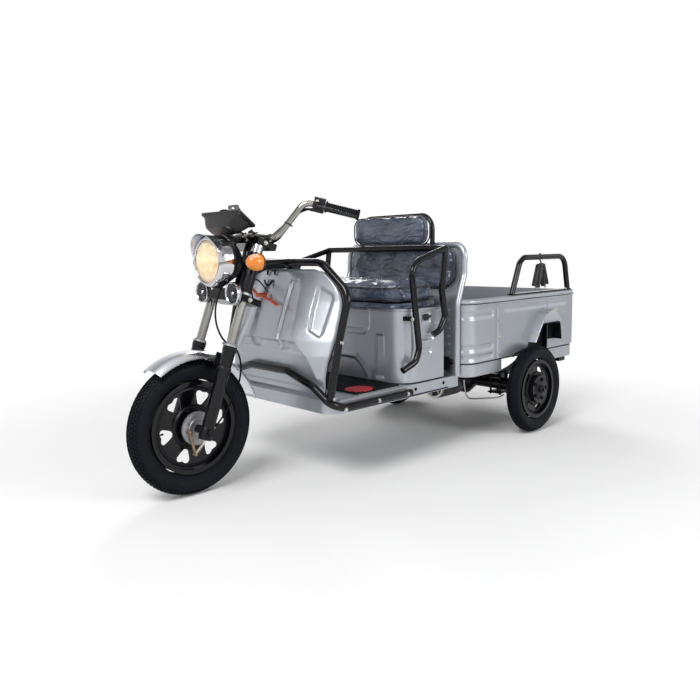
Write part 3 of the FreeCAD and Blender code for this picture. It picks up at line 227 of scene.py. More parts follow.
def at(x, behind, above):
    """A point from millimetres: to the left, behind the front axle, above the ground."""
    return Vector((x / 1000, AXLE_Y + behind / 1000, above / 1000))


def spot(x, behind, above):
    """A move to a point given as for at."""
    return Matrix.Translation(at(x, behind, above))


def shift(x, y, z):
    """A move in millimetres."""
    return Matrix.Translation((x / 1000, y / 1000, z / 1000))


def facing(place, direction, turn=0):
    """A frame at a point whose Z axis looks in a direction."""
    towards = Vector(direction).to_track_quat("Z", "Y").to_matrix().to_4x4()
    return Matrix.Translation(place) @ towards @ Matrix.Rotation(math.radians(turn), 4, "Z")


def join(mesh, part, place=Matrix()):
    """Move a part and add it to a mesh."""
    bmesh.ops.transform(part, matrix=place, verts=part.verts)
    carrier = bpy.data.meshes.new("carrier")
    part.to_mesh(carrier)
    part.free()
    mesh.from_mesh(carrier)
    bpy.data.meshes.remove(carrier)


def turned(profile, steps=40, angle=360):
    """A surface turned about Z: points of radius and height, in millimetres."""
    part = bmesh.new()
    verts = [part.verts.new((radius / 1000, 0, height / 1000)) for radius, height in profile]
    edges = [part.edges.new(pair) for pair in zip(verts, verts[1:])]
    bmesh.ops.spin(part, geom=verts + edges, axis=(0, 0, 1), cent=(0, 0, 0), steps=steps,
                   angle=math.radians(angle), use_merge=angle == 360)
    bmesh.ops.remove_doubles(part, verts=part.verts, dist=1e-6)
    return part


def piece(name, mesh, material, body, replaced=(), sharp=35):
    """An object of a mesh, smooth but for its sharp edges, riding on a body."""
    bmesh.ops.recalc_face_normals(mesh, faces=mesh.faces)
    for face in mesh.faces:
        face.smooth = True
    for edge in mesh.edges:
        edge.smooth = edge.calc_face_angle(0) < math.radians(sharp)
    made = bpy.data.objects.new(name, bpy.data.meshes.new(name))
    mesh.to_mesh(made.data)
    mesh.free()
    made.data.materials.append(material)
    scene.collection.objects.link(made)
    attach(made, body)
    if replaced:
        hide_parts(*replaced)
    return made


def tyre(name, centre, outer, width, rim_r, pitches, body):
    """A tyre of a given outer diameter and width on its rim's radius."""
    half, top = width / 2, outer / 2
    waist = rim_r + 0.52 * (top - rim_r)
    groove = 4.2
    side = []
    for step in range(-9, 16):
        turn = math.radians(step * 6.5) if step < 0 else math.radians(min(step * 6, 90))
        reach = (waist - rim_r - 3) / math.sin(math.radians(58.5)) if step < 0 else top - waist
        sunk = groove * min(1, max(0, (math.degrees(turn) - 20) / 14))
        rib = 0.9 if step in (-3, -1) else 0
        side.append(((half - sunk * 0.6 + rib) * math.cos(turn), waist + (reach - sunk) * math.sin(turn)))
    section = side + [(-x, r) for x, r in reversed(side[:-1])]
    mesh = bmesh.new()
    join(mesh, turned([(r, x) for x, r in section], 120))
    for row, turn in enumerate((27, 43, 60, 78, 102, 120, 137, 153)):
        angle = math.radians(turn)
        x, r = (half - 2.2) * math.cos(angle), waist + (top - waist - 2.2) * math.sin(angle)
        normal = Vector((math.sin(angle), 0, math.cos(angle) * half / (top - waist))).normalized()
        lateral = Vector((normal.z, 0, -normal.x))
        long_way = 0.62 if 40 < turn < 140 else 0.5
        for step in range(pitches):
            spin = 2 * math.pi * (step + 0.5 * (row % 2)) / pitches
            block = Matrix((normal * 4.4, Vector((0, 1, 0)) * (2 * math.pi * r / pitches * long_way),
                            lateral * (half * 0.2))).transposed().to_4x4()
            place = Matrix.Rotation(spin, 4, "Z") @ shift(r, 0, x) @ block
            bmesh.ops.create_cube(mesh, size=0.001, matrix=place)
    bmesh.ops.transform(mesh, matrix=facing(at(*centre), (1, 0, 0)), verts=mesh.verts)
    return piece(name + "_dressed", mesh, rubber, body, (name,), 50)


FRONT_HUB, REAR_STATION, REAR_UP, HALF_TRACK = (0, 0, 232.5), 1495, 193, 405
tyre("front_tyre", FRONT_HUB, 465, 70, 160, 92, "front_wheel")
SIDES = (("left", 1), ("right", -1))
for name, side in SIDES:
    tyre("rear_tyre_" + name, (side * HALF_TRACK, REAR_STATION, REAR_UP), 386, 58, 130, 84,
         "rear_wheel_" + name)

# Wheel trim: a turned hub cap, a rolled rim bead and five nuts on each wheel, and a rubber valve.
# The nuts hold the pressed disc to the hub, and the valve stands in the rim's well.
satin = finish("black_satin", (0.003, 0.003, 0.005), (0.007, 0.007, 0.01), (0.32, 0.46), 0, 0.0, 80, 0.2,
               Specular_IOR_Level=0.24)


def brick(size, bevel=1.0, segments=2):
    """A block about its middle, in millimetres, with rounded edges."""
    part = bmesh.new()
    bmesh.ops.create_cube(part, size=0.001)
    bmesh.ops.scale(part, vec=Vector(size), verts=part.verts)
    if bevel:
        bmesh.ops.bevel(part, geom=part.edges, offset=bevel / 1000, segments=segments, profile=0.5,
                        affect="EDGES", material=-1)
    return part


def bolt(radius, height, washer=0.0):
    """A hexagon head on a washer, looking along Z."""
    part = bmesh.new()
    if washer:
        bmesh.ops.create_cone(part, cap_ends=True, segments=20, radius1=washer / 1000, radius2=washer / 1000,
                              depth=0.0024)
    head = bmesh.new()
    bmesh.ops.create_cone(head, cap_ends=True, segments=6, radius1=radius / 1000, radius2=radius / 1000,
                          depth=height / 1000)
    bmesh.ops.bevel(head, geom=head.edges, offset=radius / 9000, segments=1, profile=0.5, affect="EDGES",
                    material=-1)
    join(part, head, Matrix.Translation((0, 0, height / 2000)))
    return part


def wheel_trim(name, centre, side, cap_side, rim_r, nuts, body):
    """Hub cap, rim bead and nuts of one wheel."""
    mesh = bmesh.new()
    outward, capped = facing(at(*centre), (side, 0, 0)), facing(at(*centre), (cap_side, 0, 0))
    join(mesh, turned([(0, 48), (13, 48), (17, 45), (18, 36), (30, 34), (44, 33), (54, 31), (60.4, 26),
                       (60.4, 12)], 48), capped)
    join(mesh, turned([(rim_r - 21, 8.6), (rim_r - 24, 11.5), (rim_r - 30, 12.6), (rim_r - 34, 9)], 72),
         outward)
    join(mesh, turned([(63, 8.6), (66, 14), (72, 14.5), (77, 8.6)], 60), outward)
    for step in range(nuts):
        turn = Matrix.Rotation(2 * math.pi * step / nuts, 4, "Z")
        join(mesh, bolt(7.5, 9, 9), capped @ turn @ shift(43, 0, 32.5))
    return piece(name, mesh, satin, body)


def valve(name, centre, way, rim_r, body):
    """A tyre valve that stands in the rim's well and leans outwards."""
    mesh = bmesh.new()
    inward = -Vector(way).normalized()
    foot = at(*centre) - inward * (rim_r - 16) / 1000
    join(mesh, turned([(0, 34), (3, 34), (3.4, 33), (3.4, 25), (2.4, 24), (2.6, 8), (4.6, 6), (5.2, 0)], 14),
         facing(foot, inward + Vector((0.22 if centre[0] >= 0 else -0.22, 0, 0))))
    piece(name, mesh, rubber, body)


wheel_trim("front_wheel_trim", FRONT_HUB, 1, -1, 160, 5, "front_wheel")
valve("front_valve", FRONT_HUB, (0, -120, -5.5), 160, "front_wheel")
for name, side in SIDES:
    hub = (side * HALF_TRACK, REAR_STATION, REAR_UP)
    wheel_trim("rear_trim_" + name, hub, side, side, 130, 5, "rear_wheel_" + name)
    valve("rear_valve_" + name, hub, (0, 80, 78), 130, "rear_wheel_" + name)

# Front drum brake: a cast plate with ribs, worked by an arm, a rod with a return spring, and a rubber hose.
# The arm is clamped on the cam's shaft, and the hose is held to the fork by a small green clamp.
cast = finish("cast_grey", (0.25, 0.25, 0.26), (0.36, 0.36, 0.37), (0.45, 0.6), 0.6, 0, 160, 0.4, 0.0004)
zinc = finish("zinc_plate", (0.5, 0.5, 0.47), (0.66, 0.64, 0.55), (0.28, 0.45), 0.9, 0, 90, 0.15)
copper = finish("copper_brown", (0.24, 0.16, 0.11), (0.36, 0.25, 0.18), (0.35, 0.5), 0.8, 0, 120, 0.2)
brass = finish("yellow_zinc", (0.62, 0.45, 0.14), (0.75, 0.6, 0.25), (0.25, 0.4), 0.9, 0, 120, 0.15)


def cable(name, points, radius, material, body):
    """A round cable or bent rod along a smooth line, led by its control points."""
    line = bpy.data.curves.new(name, "CURVE")
    line.dimensions = "3D"
    spline = line.splines.new("NURBS")
    spline.points.add(len(points) - 1)
    for point, place in zip(spline.points, points):
        point.co = (*place, 1)
    spline.order_u = 3
    spline.use_endpoint_u = True
    spline.resolution_u = 6
    line.bevel_depth = radius / 1000
    line.bevel_resolution = 3
    line.use_fill_caps = True
    made = bpy.data.objects.new(name, line)
    line.materials.append(material)
    scene.collection.objects.link(made)
    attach(made, body)
    return made


show(cast, "brake_plate")
show(satin, "front_axle")
mesh = bmesh.new()
drum = facing(at(*FRONT_HUB), (1, 0, 0))
join(mesh, turned([(0, 47), (10, 47), (13, 45.5), (14, 41.5), (26, 41), (28, 43.5), (33, 43.5), (35, 40.6),
                   (50, 40.2), (55, 38.6), (57.4, 36)], 60), drum)
for turn in range(0, 360, 30):
    rib = Matrix.Rotation(math.radians(turn), 4, "Z") @ shift(42.5, 0, 40.5)
    join(mesh, brick((13, 2.2, 3), 0.5, 1), drum @ rib)
piece("front_brake_face", mesh, cast, "steering")
mesh = bmesh.new()
arm_top, arm_low = at(50, -36, 226), at(50, -20, 150)
join(mesh, bolt(8, 8, 10), facing(arm_top, (1, 0, 0)))
for width, place in ((13, 0.2), (10, 0.5), (9, 0.8)):
    join(mesh, brick((4, width, 30), 1), facing(arm_top.lerp(arm_low, place), arm_low - arm_top))
join(mesh, turned([(0, 8), (5.5, 8), (5.5, -8), (0, -8)], 18), facing(arm_low, (1, 0, 0)))
piece("front_brake_arm", mesh, copper, "steering")
cable("front_brake_rod", [at(52, -20, 150), at(52, 10, 178), at(52, 47, 214), at(52, 62, 230)], 2.2, zinc,
      "steering")
mesh = bmesh.new()
join(mesh, bolt(5.5, 9), facing(at(52, 42, 209), (0, 0.7, 0.72)))
piece("front_brake_nut", mesh, brass, "steering")
cable("front_brake_hose",
      [at(52, 60, 228), at(55, 82, 250), at(62, 112, 290), at(70, 150, 360), at(72, 164, 430),
       at(66, 150, 490), at(60, 108, 512), at(60, 82, 552), at(58, 72, 600), at(54, 80, 650),
       at(40, 120, 712), at(46, 214, 800), at(110, 286, 872), at(190, 350, 962), at(232, 372, 958)], 3.2,
      rubber, "steering")
green = finish("green_clamp", (0.05, 0.11, 0.075), (0.08, 0.16, 0.11), (0.35, 0.5), 0, 0, 80, 0.1)
mesh = bmesh.new()
join(mesh, brick((22, 16, 9), 2.5), spot(60, 110, 510))
piece("hose_clamp", mesh, green, "steering")
spring = bpy.data.curves.new("front_brake_spring", "CURVE")
spring.dimensions = "3D"
coil = spring.splines.new("POLY")
turns, ring = 9, facing(at(52, -18, 152), at(52, 8, 176) - at(52, -18, 152))
coil.points.add(turns * 12)
for step, point in enumerate(coil.points):
    angle = step * math.pi / 6
    point.co = (*(ring @ Vector((0.0052 * math.cos(angle), 0.0052 * math.sin(angle), step * 0.00034))), 1)
spring.bevel_depth, spring.bevel_resolution = 0.0008, 2
spring.materials.append(zinc)
coil_piece = bpy.data.objects.new("front_brake_spring", spring)
scene.collection.objects.link(coil_piece)
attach(coil_piece, "steering")

# Fork: smoky chrome tubes in black sliders, with rubber dust seals, pale rings and chrome bands pressed on.
# Bolts pinch the two clamps round the tubes, and two brackets carry the fender.
chrome = finish("chrome_plate", (0.56, 0.56, 0.58), (0.66, 0.66, 0.68), (0.07, 0.15), 1, 0, 40, 0.02)
nickel = finish("smoky_chrome", (0.34, 0.33, 0.305), (0.43, 0.42, 0.39), (0.08, 0.16), 1, 0, 40, 0.02)
show(nickel, "fork_tubes", "handlebar")
RAKE = math.radians(21)


def fork_at(x, back, along):
    """A point in the fork's frame, where up is along the raked tubes."""
    return Vector((x / 1000, AXLE_Y + (back * math.cos(RAKE) + along * math.sin(RAKE)) / 1000,
                   0.2325 + (-back * math.sin(RAKE) + along * math.cos(RAKE)) / 1000))


FORK_UP = Vector((0, math.sin(RAKE), math.cos(RAKE)))
seals, bands, bolts, pale = bmesh.new(), bmesh.new(), bmesh.new(), bmesh.new()
for x in (95, -95):
    join(seals, turned([(22.2, 8), (23.4, 5), (23.6, 0), (23.2, -4), (22.2, -6)], 36),
         facing(fork_at(x, 0, 275), FORK_UP))
    join(pale, turned([(15.8, 25), (19, 24), (20.6, 21), (23.2, 18), (23.8, 14), (23.8, 5), (22.6, 3)], 36),
         facing(fork_at(x, 0, 276), FORK_UP))
    join(seals, turned([(22.2, 9), (23.6, 6), (23.6, -5), (22.2, -8)], 32),
         facing(fork_at(x, 0, 210), FORK_UP))
    join(seals, turned([(22.2, 10), (23.4, 7), (24, -14), (22, -26), (14, -30), (0, -30)], 32),
         facing(fork_at(x, 0, 2), FORK_UP))
    for low, high in ((468.4, 481), (617, 650)):
        join(bands, turned([(18.4, low), (20.4, low + 2), (20.4, high - 2), (18.4, high)], 36),
             facing(fork_at(x, 0, 0), FORK_UP))
    for along in (457, 661):
        side = 1 if x > 0 else -1
        join(bolts, bolt(6.5, 7, 8), facing(fork_at(x + side * 24, 10, along), (side, 0, 0)))
        join(bolts, bolt(6, 6, 7.5),
             facing(fork_at(x * 0.55, -22, along), -Vector(fork_at(0, 1, 0) - fork_at(0, 0, 0))))
    join(bolts, turned([(0, 5), (13.5, 4.4), (15.4, 2), (15.4, -1)], 30), facing(fork_at(x, 0, 672), FORK_UP))
piece("fork_seals", seals, satin, "steering", sharp=50)
piece("fork_seal_rings", pale, cast, "steering", sharp=50)
piece("fork_bands", bands, chrome, "steering")
piece("fork_bolts", bolts, zinc, "steering")
mesh = bmesh.new()
for x in (62, -62):
    join(mesh, brick((5, 40, 46), 1.5),
         Matrix.Translation(fork_at(x, -4, 240)) @ Matrix.Rotation(-RAKE, 4, "X"))
    join(mesh, bolt(5.5, 6, 7), facing(fork_at(x + (3 if x > 0 else -3), -12, 232), (x, 0, 0)))
    join(mesh, bolt(5.5, 6, 7), facing(fork_at(x + (3 if x > 0 else -3), 6, 250), (x, 0, 0)))
piece("fender_brackets", mesh, satin, "steering")

# Front fender: one pressed sheet, brushed and chromed, with a high crown and a rolled bead along each edge.
# It is bolted to the two brackets between the fork's sliders.
bright = finish("brushed_chrome", (0.7, 0.72, 0.76), (0.78, 0.8, 0.84), (0.22, 0.32), 1, 0, 40, 0.03)
mesh = bmesh.new()
FENDER_R, FENDER_LOW, FENDER_SWEEP = 259, 16.5, 108.6
crown = []
for step in range(13):
    x = 55 * math.sin(math.radians(step * 7.5))
    crown.append((x, FENDER_R - 0.3 - 19 * (x / 56) ** 4 - 2.2 * (x / 56) ** 2))
lip = [(56, 240), (57.4, 238), (56.4, 236), (54.6, 237)]
half = crown + lip
section = [(-x, r) for x, r in reversed(half[1:])] + half
inside = [(x * 0.965, r - 2) for x, r in reversed(section[4:-4])]
ring = section + inside
verts = [mesh.verts.new((r / 1000, 0, x / 1000)) for x, r in ring]
edges = [mesh.edges.new(pair) for pair in zip(verts, verts[1:] + verts[:1])]
bmesh.ops.spin(mesh, geom=verts + edges, axis=(0, 0, 1), cent=(0, 0, 0), steps=72,
               angle=math.radians(FENDER_SWEEP), use_merge=False)
bmesh.ops.holes_fill(mesh, edges=[e for e in mesh.edges if e.is_boundary], sides=0)
bmesh.ops.transform(mesh, matrix=facing(at(*FRONT_HUB), (1, 0, 0), FENDER_LOW), verts=mesh.verts)
piece("front_fender_dressed", mesh, bright, "steering", ("front_fender",), 50)

# Headlamp: a fluted glass lens, lit warm from inside, in a turned chrome bezel on a black moulded bowl.
# A pressed peak is clipped over the bezel's upper half, and two side bolts hold the bowl to the fork.
plastic = finish("black_plastic", (0.008, 0.008, 0.009), (0.014, 0.014, 0.016), (0.3, 0.42), 0, 0, 300, 0.25,
                 0.0003, Specular_IOR_Level=0.38)
show(plastic, "battery_block", "headlamp_bowl", "switch_boxes")
glow = finish("lit_lens", (0.72, 0.5, 0.26), (0.95, 0.78, 0.5), (0.06, 0.14), 0, 0.8, 420, 0)
tree = glow.node_tree
shader = tree.nodes["Principled BSDF"]
shader.inputs["Emission Strength"].default_value = 0.42
space = tree.nodes.new("ShaderNodeTexCoord").outputs["Object"]
off_axis = linked(tree, "ShaderNodeVectorMath", "Value", None, operation="DISTANCE", Vector=space)
off_axis.inputs[1].default_value = at(8, 72, 780)
warm = linked(tree, "ShaderNodeMapRange", 0, None, Value=off_axis.outputs["Value"], From_Min=0.0,
              From_Max=0.085)
flutes = linked(tree, "ShaderNodeTexWave", 1, None, wave_type="BANDS", bands_direction="X", Vector=space,
                Scale=34.0, Distortion=1.2)
streaks = linked(tree, "ShaderNodeMath", 0, None, operation="MULTIPLY_ADD")
tree.links.new(flutes.outputs[1], streaks.inputs[0])
streaks.inputs[1].default_value = 0.34
tree.links.new(warm.outputs[0], streaks.inputs[2])
halo = linked(tree, "ShaderNodeValToRGB", 0, shader.inputs["Emission Color"], Fac=streaks.outputs[0])
stepped(halo, (0.0, (1.0, 0.93, 0.74)), (0.3, (1.0, 0.8, 0.48)), (0.6, (0.9, 0.62, 0.36)),
        (0.82, (0.55, 0.42, 0.3)), (1.0, (0.2, 0.17, 0.14)))
linked(tree, "ShaderNodeBump", 0, shader.inputs["Normal"], Height=flutes.outputs[1], Strength=1.0,
       Distance=0.004)
LAMP = facing(at(0, 130, 787), (0, -1, 0))


# The peak and the body's panels are pressed sheets. Each starts as a flat grid, and each point of it is
# laid on the panel and pushed in by the pressings over it, before the sheet gets its thickness.
def between(table, value):
    """The row of a table at a value, with the rows beside it mixed."""
    table = sorted(table)
    for (low, *first), (high, *last) in zip(table, table[1:]):
        if value <= high:
            share = min(max((value - low) / (high - low), 0), 1)
            return [a + (b - a) * share for a, b in zip(first, last)]
    return list(table[-1][1:])


def marks(low, high, step, *extra):
    """Even marks from low to high, with some more at given places."""
    count = max(1, round((high - low) / step))
    values = sorted([low + (high - low) * i / count for i in range(count + 1)] + list(extra))
    return [v for i, v in enumerate(values) if i == 0 or v - values[i - 1] > step / 16]


def pushed_in(place, pressings):
    """How deep a spot is pushed in, in metres, by outlines with a depth and a ramp."""
    total = 0
    for outline, depth, ramp in pressings:
        reach = min(((u1 - u0) * (place[1] - v0) - (v1 - v0) * (place[0] - u0)) / math.hypot(u1 - u0, v1 - v0)
                    for (u0, v0), (u1, v1) in zip(outline, outline[1:] + outline[:1]))
        share = min(max(reach / ramp + 0.5, 0), 1)
        total += depth * share * share * (3 - 2 * share)
    return total / 1000


def pressed(columns, rows, shape, pressings, behind, thick=2.4):
    """A sheet laid on a shape, pressed, and thickened away from its face."""
    mesh = bmesh.new()
    bmesh.ops.create_grid(mesh, x_segments=len(columns) - 1, y_segments=len(rows) - 1, size=0.5)
    spots = {}
    for vert in mesh.verts:
        u = columns[round((vert.co.x + 0.5) * (len(columns) - 1))]
        v = rows[round((vert.co.y + 0.5) * (len(rows) - 1))]
        vert.co, spots[vert] = shape(u, v)
    mesh.normal_update()
    if sum((v.co - behind).dot(v.normal) for v in mesh.verts) <= 0:
        bmesh.ops.reverse_faces(mesh, faces=mesh.faces[:])
        mesh.normal_update()
    inward = {v: -v.normal * pushed_in(spots[v], pressings) for v in mesh.verts}
    for vert, move in inward.items():
        vert.co += move
    bmesh.ops.solidify(mesh, geom=mesh.faces[:], thickness=thick / 1000)
    return mesh


mesh = bmesh.new()
join(mesh, turned([(0, 61.6), (12, 61.3), (26, 60), (40, 57.2), (53, 52.8), (62, 48.4), (68.5, 44.6),
                   (71.2, 42.6), (71.4, 36), (69, 31), (0, 31)], 64), LAMP)
piece("headlamp_lens_dressed", mesh, glow, "steering", ("headlamp_lens",), 40)
mesh = bmesh.new()
join(mesh, turned([(71.9, 30), (71.9, 46), (73.6, 47.6), (77, 47.6), (79.6, 45.6), (83, 42.6), (87.2, 35),
                   (88, 30), (88, 6), (88.6, 4.6), (88.6, -6), (87.2, -7.6), (86.6, 0), (86.6, 28), (82, 38)],
                  72), LAMP)
join(mesh, bolt(4.5, 7), facing(at(8, 98, 698.6), (0, 0, -1)))
piece("headlamp_bezel_turned", mesh, chrome, "steering", ("headlamp_bezel",), 40)


def peak(turn, share):
    """A spot of the peak: how far round the lamp, and how far out."""
    reach = 28 + 46 * max(math.cos(math.radians(turn * 0.98)), 0) ** 0.75 * share
    radius = 88.3 + 5.5 * share ** 1.5
    angle = math.radians(turn)
    return at(radius * math.sin(angle), 130 - reach, 787 + radius * math.cos(angle)), (turn, share)


mesh = pressed(marks(-88, 88, 2.2), marks(0, 1, 0.08), peak, [], at(0, 100, 787), 1.6)
piece("headlamp_peak", mesh, bright, "steering", sharp=40)
mesh = bmesh.new()
for side in (1, -1):
    join(mesh, bolt(9, 9, 13), facing(at(side * 66, 203, 787), (side, 0, 0)))
    join(mesh, turned([(0, 6), (12, 6), (14.5, 4), (14.5, -12), (0, -12)], 28),
         facing(at(side * 62, 203, 787), (side, 0, 0)))
join(mesh, turned([(0, 9), (5, 8), (9, 3), (11, 0)], 20), facing(at(0, 204.6, 775), (0, 1, 0)))
piece("headlamp_mounts", mesh, plastic, "steering")

# Twin lamps: two spun chrome cups with dark ringed glasses, under the headlamp.
# A ribbed black block between them carries both on a stay from the lower clamp.
cups, glasses = bmesh.new(), bmesh.new()
for x in (93, -93):
    cup = facing(at(x, 138, 680), (0, -1, 0))
    join(cups, turned([(0, 0), (24, 0), (31, 1), (36, 4), (38.4, 9), (38.6, 18), (38.2, 21), (36.4, 22),
                       (34.8, 21), (33, 18.6), (33, 14)], 48), cup)
    join(glasses, turned([(0, 17), (6, 16.6), (9, 12), (12, 12.4), (14, 15.4), (17, 15.4), (18, 12.6),
                          (22, 13), (24, 16.6), (27, 16.6), (28, 14), (31, 15), (33.4, 17.6), (33.8, 14)],
                         40), cup)
    join(cups, turned([(0, 20.4), (4, 19.4), (6, 16.8), (6, 15)], 20), cup)
piece("twin_lamp_cups", cups, chrome, "steering", ("twin_lamps",))
smoked = finish("smoked_lens", (0.012, 0.013, 0.016), (0.03, 0.032, 0.036), (0.08, 0.16), 0, 0.6, 60, 0)
piece("twin_lamp_glasses", glasses, smoked, "steering")
mesh = bmesh.new()
join(mesh, brick((112, 15, 40), 3), spot(0, 130.5, 676))
for step in range(6):
    join(mesh, brick((106, 3.4, 3.6), 0.8, 1), spot(0, 122.2, 660.5 + step * 6.2))
join(mesh, brick((52, 24, 14), 2), Matrix.Translation(fork_at(0, -30, 458)) @ Matrix.Rotation(-RAKE, 4, "X"))
piece("twin_lamp_block", mesh, plastic, "steering")

# Turn signals: a moulded amber shell with a slanting top facet, pushed onto a round black base.
# A short hollow stalk screws each base to the fork's cover.
amber = finish("amber_lens", (0.74, 0.2, 0.008), (0.9, 0.31, 0.02), (0.1, 0.18), 0, 0.6, 60, 0.05)
shells, bases = bmesh.new(), bmesh.new()
for side in (1, -1):
    shell = bmesh.new()
    bmesh.ops.create_uvsphere(shell, u_segments=32, v_segments=20, radius=0.001)
    bmesh.ops.scale(shell, vec=(28, 41, 29), verts=shell.verts)
    for cut_at, cut_way in (((0, 0.012, 0), (0, 1, 0)), ((side * 0.006, 0, 0.0225), (side * 0.25, -0.25, 1))):
        bmesh.ops.bisect_plane(shell, geom=shell.verts[:] + shell.edges[:] + shell.faces[:], dist=1e-7,
                               plane_co=cut_at, plane_no=cut_way, clear_outer=True)
        bmesh.ops.holes_fill(shell, edges=[e for e in shell.edges if e.is_boundary], sides=0)
    join(shells, shell, spot(side * 163, 174, 783))
    join(bases, turned([(0, 13), (10, 12), (20, 8), (27, 1), (28.6, -2), (27.5, -4)], 36),
         facing(at(side * 163, 189, 783), (0, 1, 0)) @ Matrix.Diagonal((1, 1.02, 1, 1)))
    join(bases, turned([(0, 34), (8, 33), (8.6, 30), (7, 14), (8.6, 4), (10.5, 0), (10.5, -3), (0, -3)], 20),
         facing(at(side * 118, 198, 774), (side, 0, 0)))
piece("signal_shells", shells, amber, "steering", ("turn_signals",), 25)
piece("signal_bases", bases, plastic, "steering")

# Instrument pod: a moulded black tray that widens to a thin rim, bolted to the top clamp by a flat stay.
# In its face are a glass screen and two round gauges with plain ticks and red hands, and four screws.
POD = spot(0, 177, 929) @ Matrix.Rotation(math.radians(-39), 4, "X")
QUARTERS = ((1, 1, 0), (-1, 1, 90), (-1, -1, 180), (1, -1, 270))
POD_WIDE, POD_DEEP = 238, 84
GAUGES = (-62, 62)
POD_RINGS = ((58, -52, 12), (50, -51, 14), (43, -48, 16), (34, -40, 18), (24, -26, 18), (17, -14, 16),
             (14, -8.5, 13), (11, -6.8, 12), (3, -6.4, 10), (0.6, -5.2, 9), (0, -3, 9), (0, -1, 9),
             (1, 1.6, 9), (3, 2.6, 8), (5, 2.4, 7), (6, 0.6, 7), (60, 0.4, 4))
mesh = bmesh.new()
rings = []
for inset, drop, corner in POD_RINGS:
    flat_x, flat_y = POD_WIDE / 2 - inset - corner, POD_DEEP / 2 - min(inset, 46) * 0.45 - corner
    ring = []
    for way_x, way_y, start in QUARTERS:
        for turn in (math.radians(start + 15 * step) for step in range(7)):
            x, y = way_x * flat_x + corner * math.cos(turn), way_y * flat_y + corner * math.sin(turn)
            ring.append(mesh.verts.new((x / 1000, y / 1000, drop / 1000)))
    rings.append([mesh.edges.new(pair) for pair in zip(ring, ring[1:] + ring[:1])])
    if len(rings) > 1:
        bmesh.ops.bridge_loops(mesh, edges=rings[-2] + rings[-1])
bmesh.ops.holes_fill(mesh, edges=rings[0] + rings[-1], sides=0)
bmesh.ops.recalc_face_normals(mesh, faces=mesh.faces)
bmesh.ops.transform(mesh, matrix=POD, verts=mesh.verts)
join(mesh, brick((50, 62, 8), 1.5),
     Matrix.Translation(fork_at(0, -53.3, 660)) @ Matrix.Rotation(-RAKE, 4, "X"))
piece("instrument_pod_moulded", mesh, plastic, "steering", ("instrument_pod",), 40)
mesh = bmesh.new()
for x in GAUGES:
    join(mesh, turned([(26, 0), (30, 1), (31, 3.6), (29, 4.6), (26.5, 3.4), (26, 0)], 40),
         POD @ shift(x, 0, 0))
piece("pod_rim", mesh, plastic, "steering")
screen = finish("pod_screen", (0.004, 0.005, 0.007), (0.007, 0.008, 0.01), (0.04, 0.08), 0, 1.0, 40, 0)
dial = finish("dial_white", (0.7, 0.7, 0.7), (0.78, 0.78, 0.78), (0.4, 0.5), 0, 0, 60, 0)
mesh = bmesh.new()
for x in GAUGES:
    join(mesh, turned([(0, 1.4), (25.6, 1.4), (26, 0)], 40), POD @ shift(x, 0, 0))
join(mesh, brick((56, 50, 2.4), 1), POD)
piece("pod_screens", mesh, screen, "steering")
mesh = bmesh.new()
for x in GAUGES:
    for step in range(11):
        tick = Matrix.Rotation(math.radians(-135 + 27 * step), 4, "Z") @ shift(0, 21, 1.6)
        join(mesh, brick((1.1, 4.6 if step % 5 == 0 else 2.8, 0.5), 0), POD @ shift(x, 0, 0) @ tick)
piece("pod_ticks", mesh, dial, "steering")
red = finish("red_plastic", (0.7, 0.075, 0.015), (0.8, 0.12, 0.03), (0.25, 0.4), 0, 0.2, 80, 0.1)
show(red, "parking_brake_lever")
mesh = bmesh.new()
for x, turn in ((-62, 60), (62, 110)):
    hand = Matrix.Rotation(math.radians(turn), 4, "Z")
    join(mesh, brick((1.6, 20, 0.8), 0.3, 1), POD @ shift(x, 0, 2) @ hand @ shift(0, 7, 0))
piece("pod_hands", mesh, red, "steering")
mesh = bmesh.new()
for x in (-96, 96):
    for y in (-27, 27):
        join(mesh, turned([(0, 1.5), (3, 1.3), (3.6, 0.3)], 12), POD @ shift(x, y, 0))
piece("pod_screws", mesh, zinc, "steering")

# Handlebar controls: ribbed rubber grips with end flanges, moulded switch boxes in two halves with buttons,
# lever pivots of zinc, clamps that bolt the bar down, and wires and a cable tied along the bar.
GRIP_END, BEND = at(344, 466, 935), at(214, 344, 982)
along_grip = (GRIP_END - BEND).normalized()
GRIP_LENGTH, PAST_END = 0.118, 0.006
grips = bmesh.new()
profile = [(11.4, 0), (19.5, 0), (20.5, 2), (19.5, 4.4), (16, 6.5)]
for step in range(13):
    start = 9 + step * 7.6
    profile += [(15.9, start), (15.9, start + 4.6), (14.4, start + 5.4), (14.4, start + 6.8)]
profile += [(16, 108), (18.5, 110), (18.5, 115), (16, 118), (0, 118)]
for side in (1, -1):
    flip = Matrix.Diagonal((side, 1, 1, 1))
    start = flip @ (GRIP_END - along_grip * (GRIP_LENGTH - PAST_END))
    join(grips, turned(profile, 32), facing(start, flip @ along_grip))
piece("grips_dressed", grips, rubber, "steering", ("grips",), 40)
switch_turn = along_grip.to_track_quat("X", "Z").to_matrix().to_4x4()
switch_at = Matrix.Translation(GRIP_END - along_grip * (GRIP_LENGTH - PAST_END + 0.022)) @ switch_turn
parts, knobs, rods = bmesh.new(), bmesh.new(), bmesh.new()
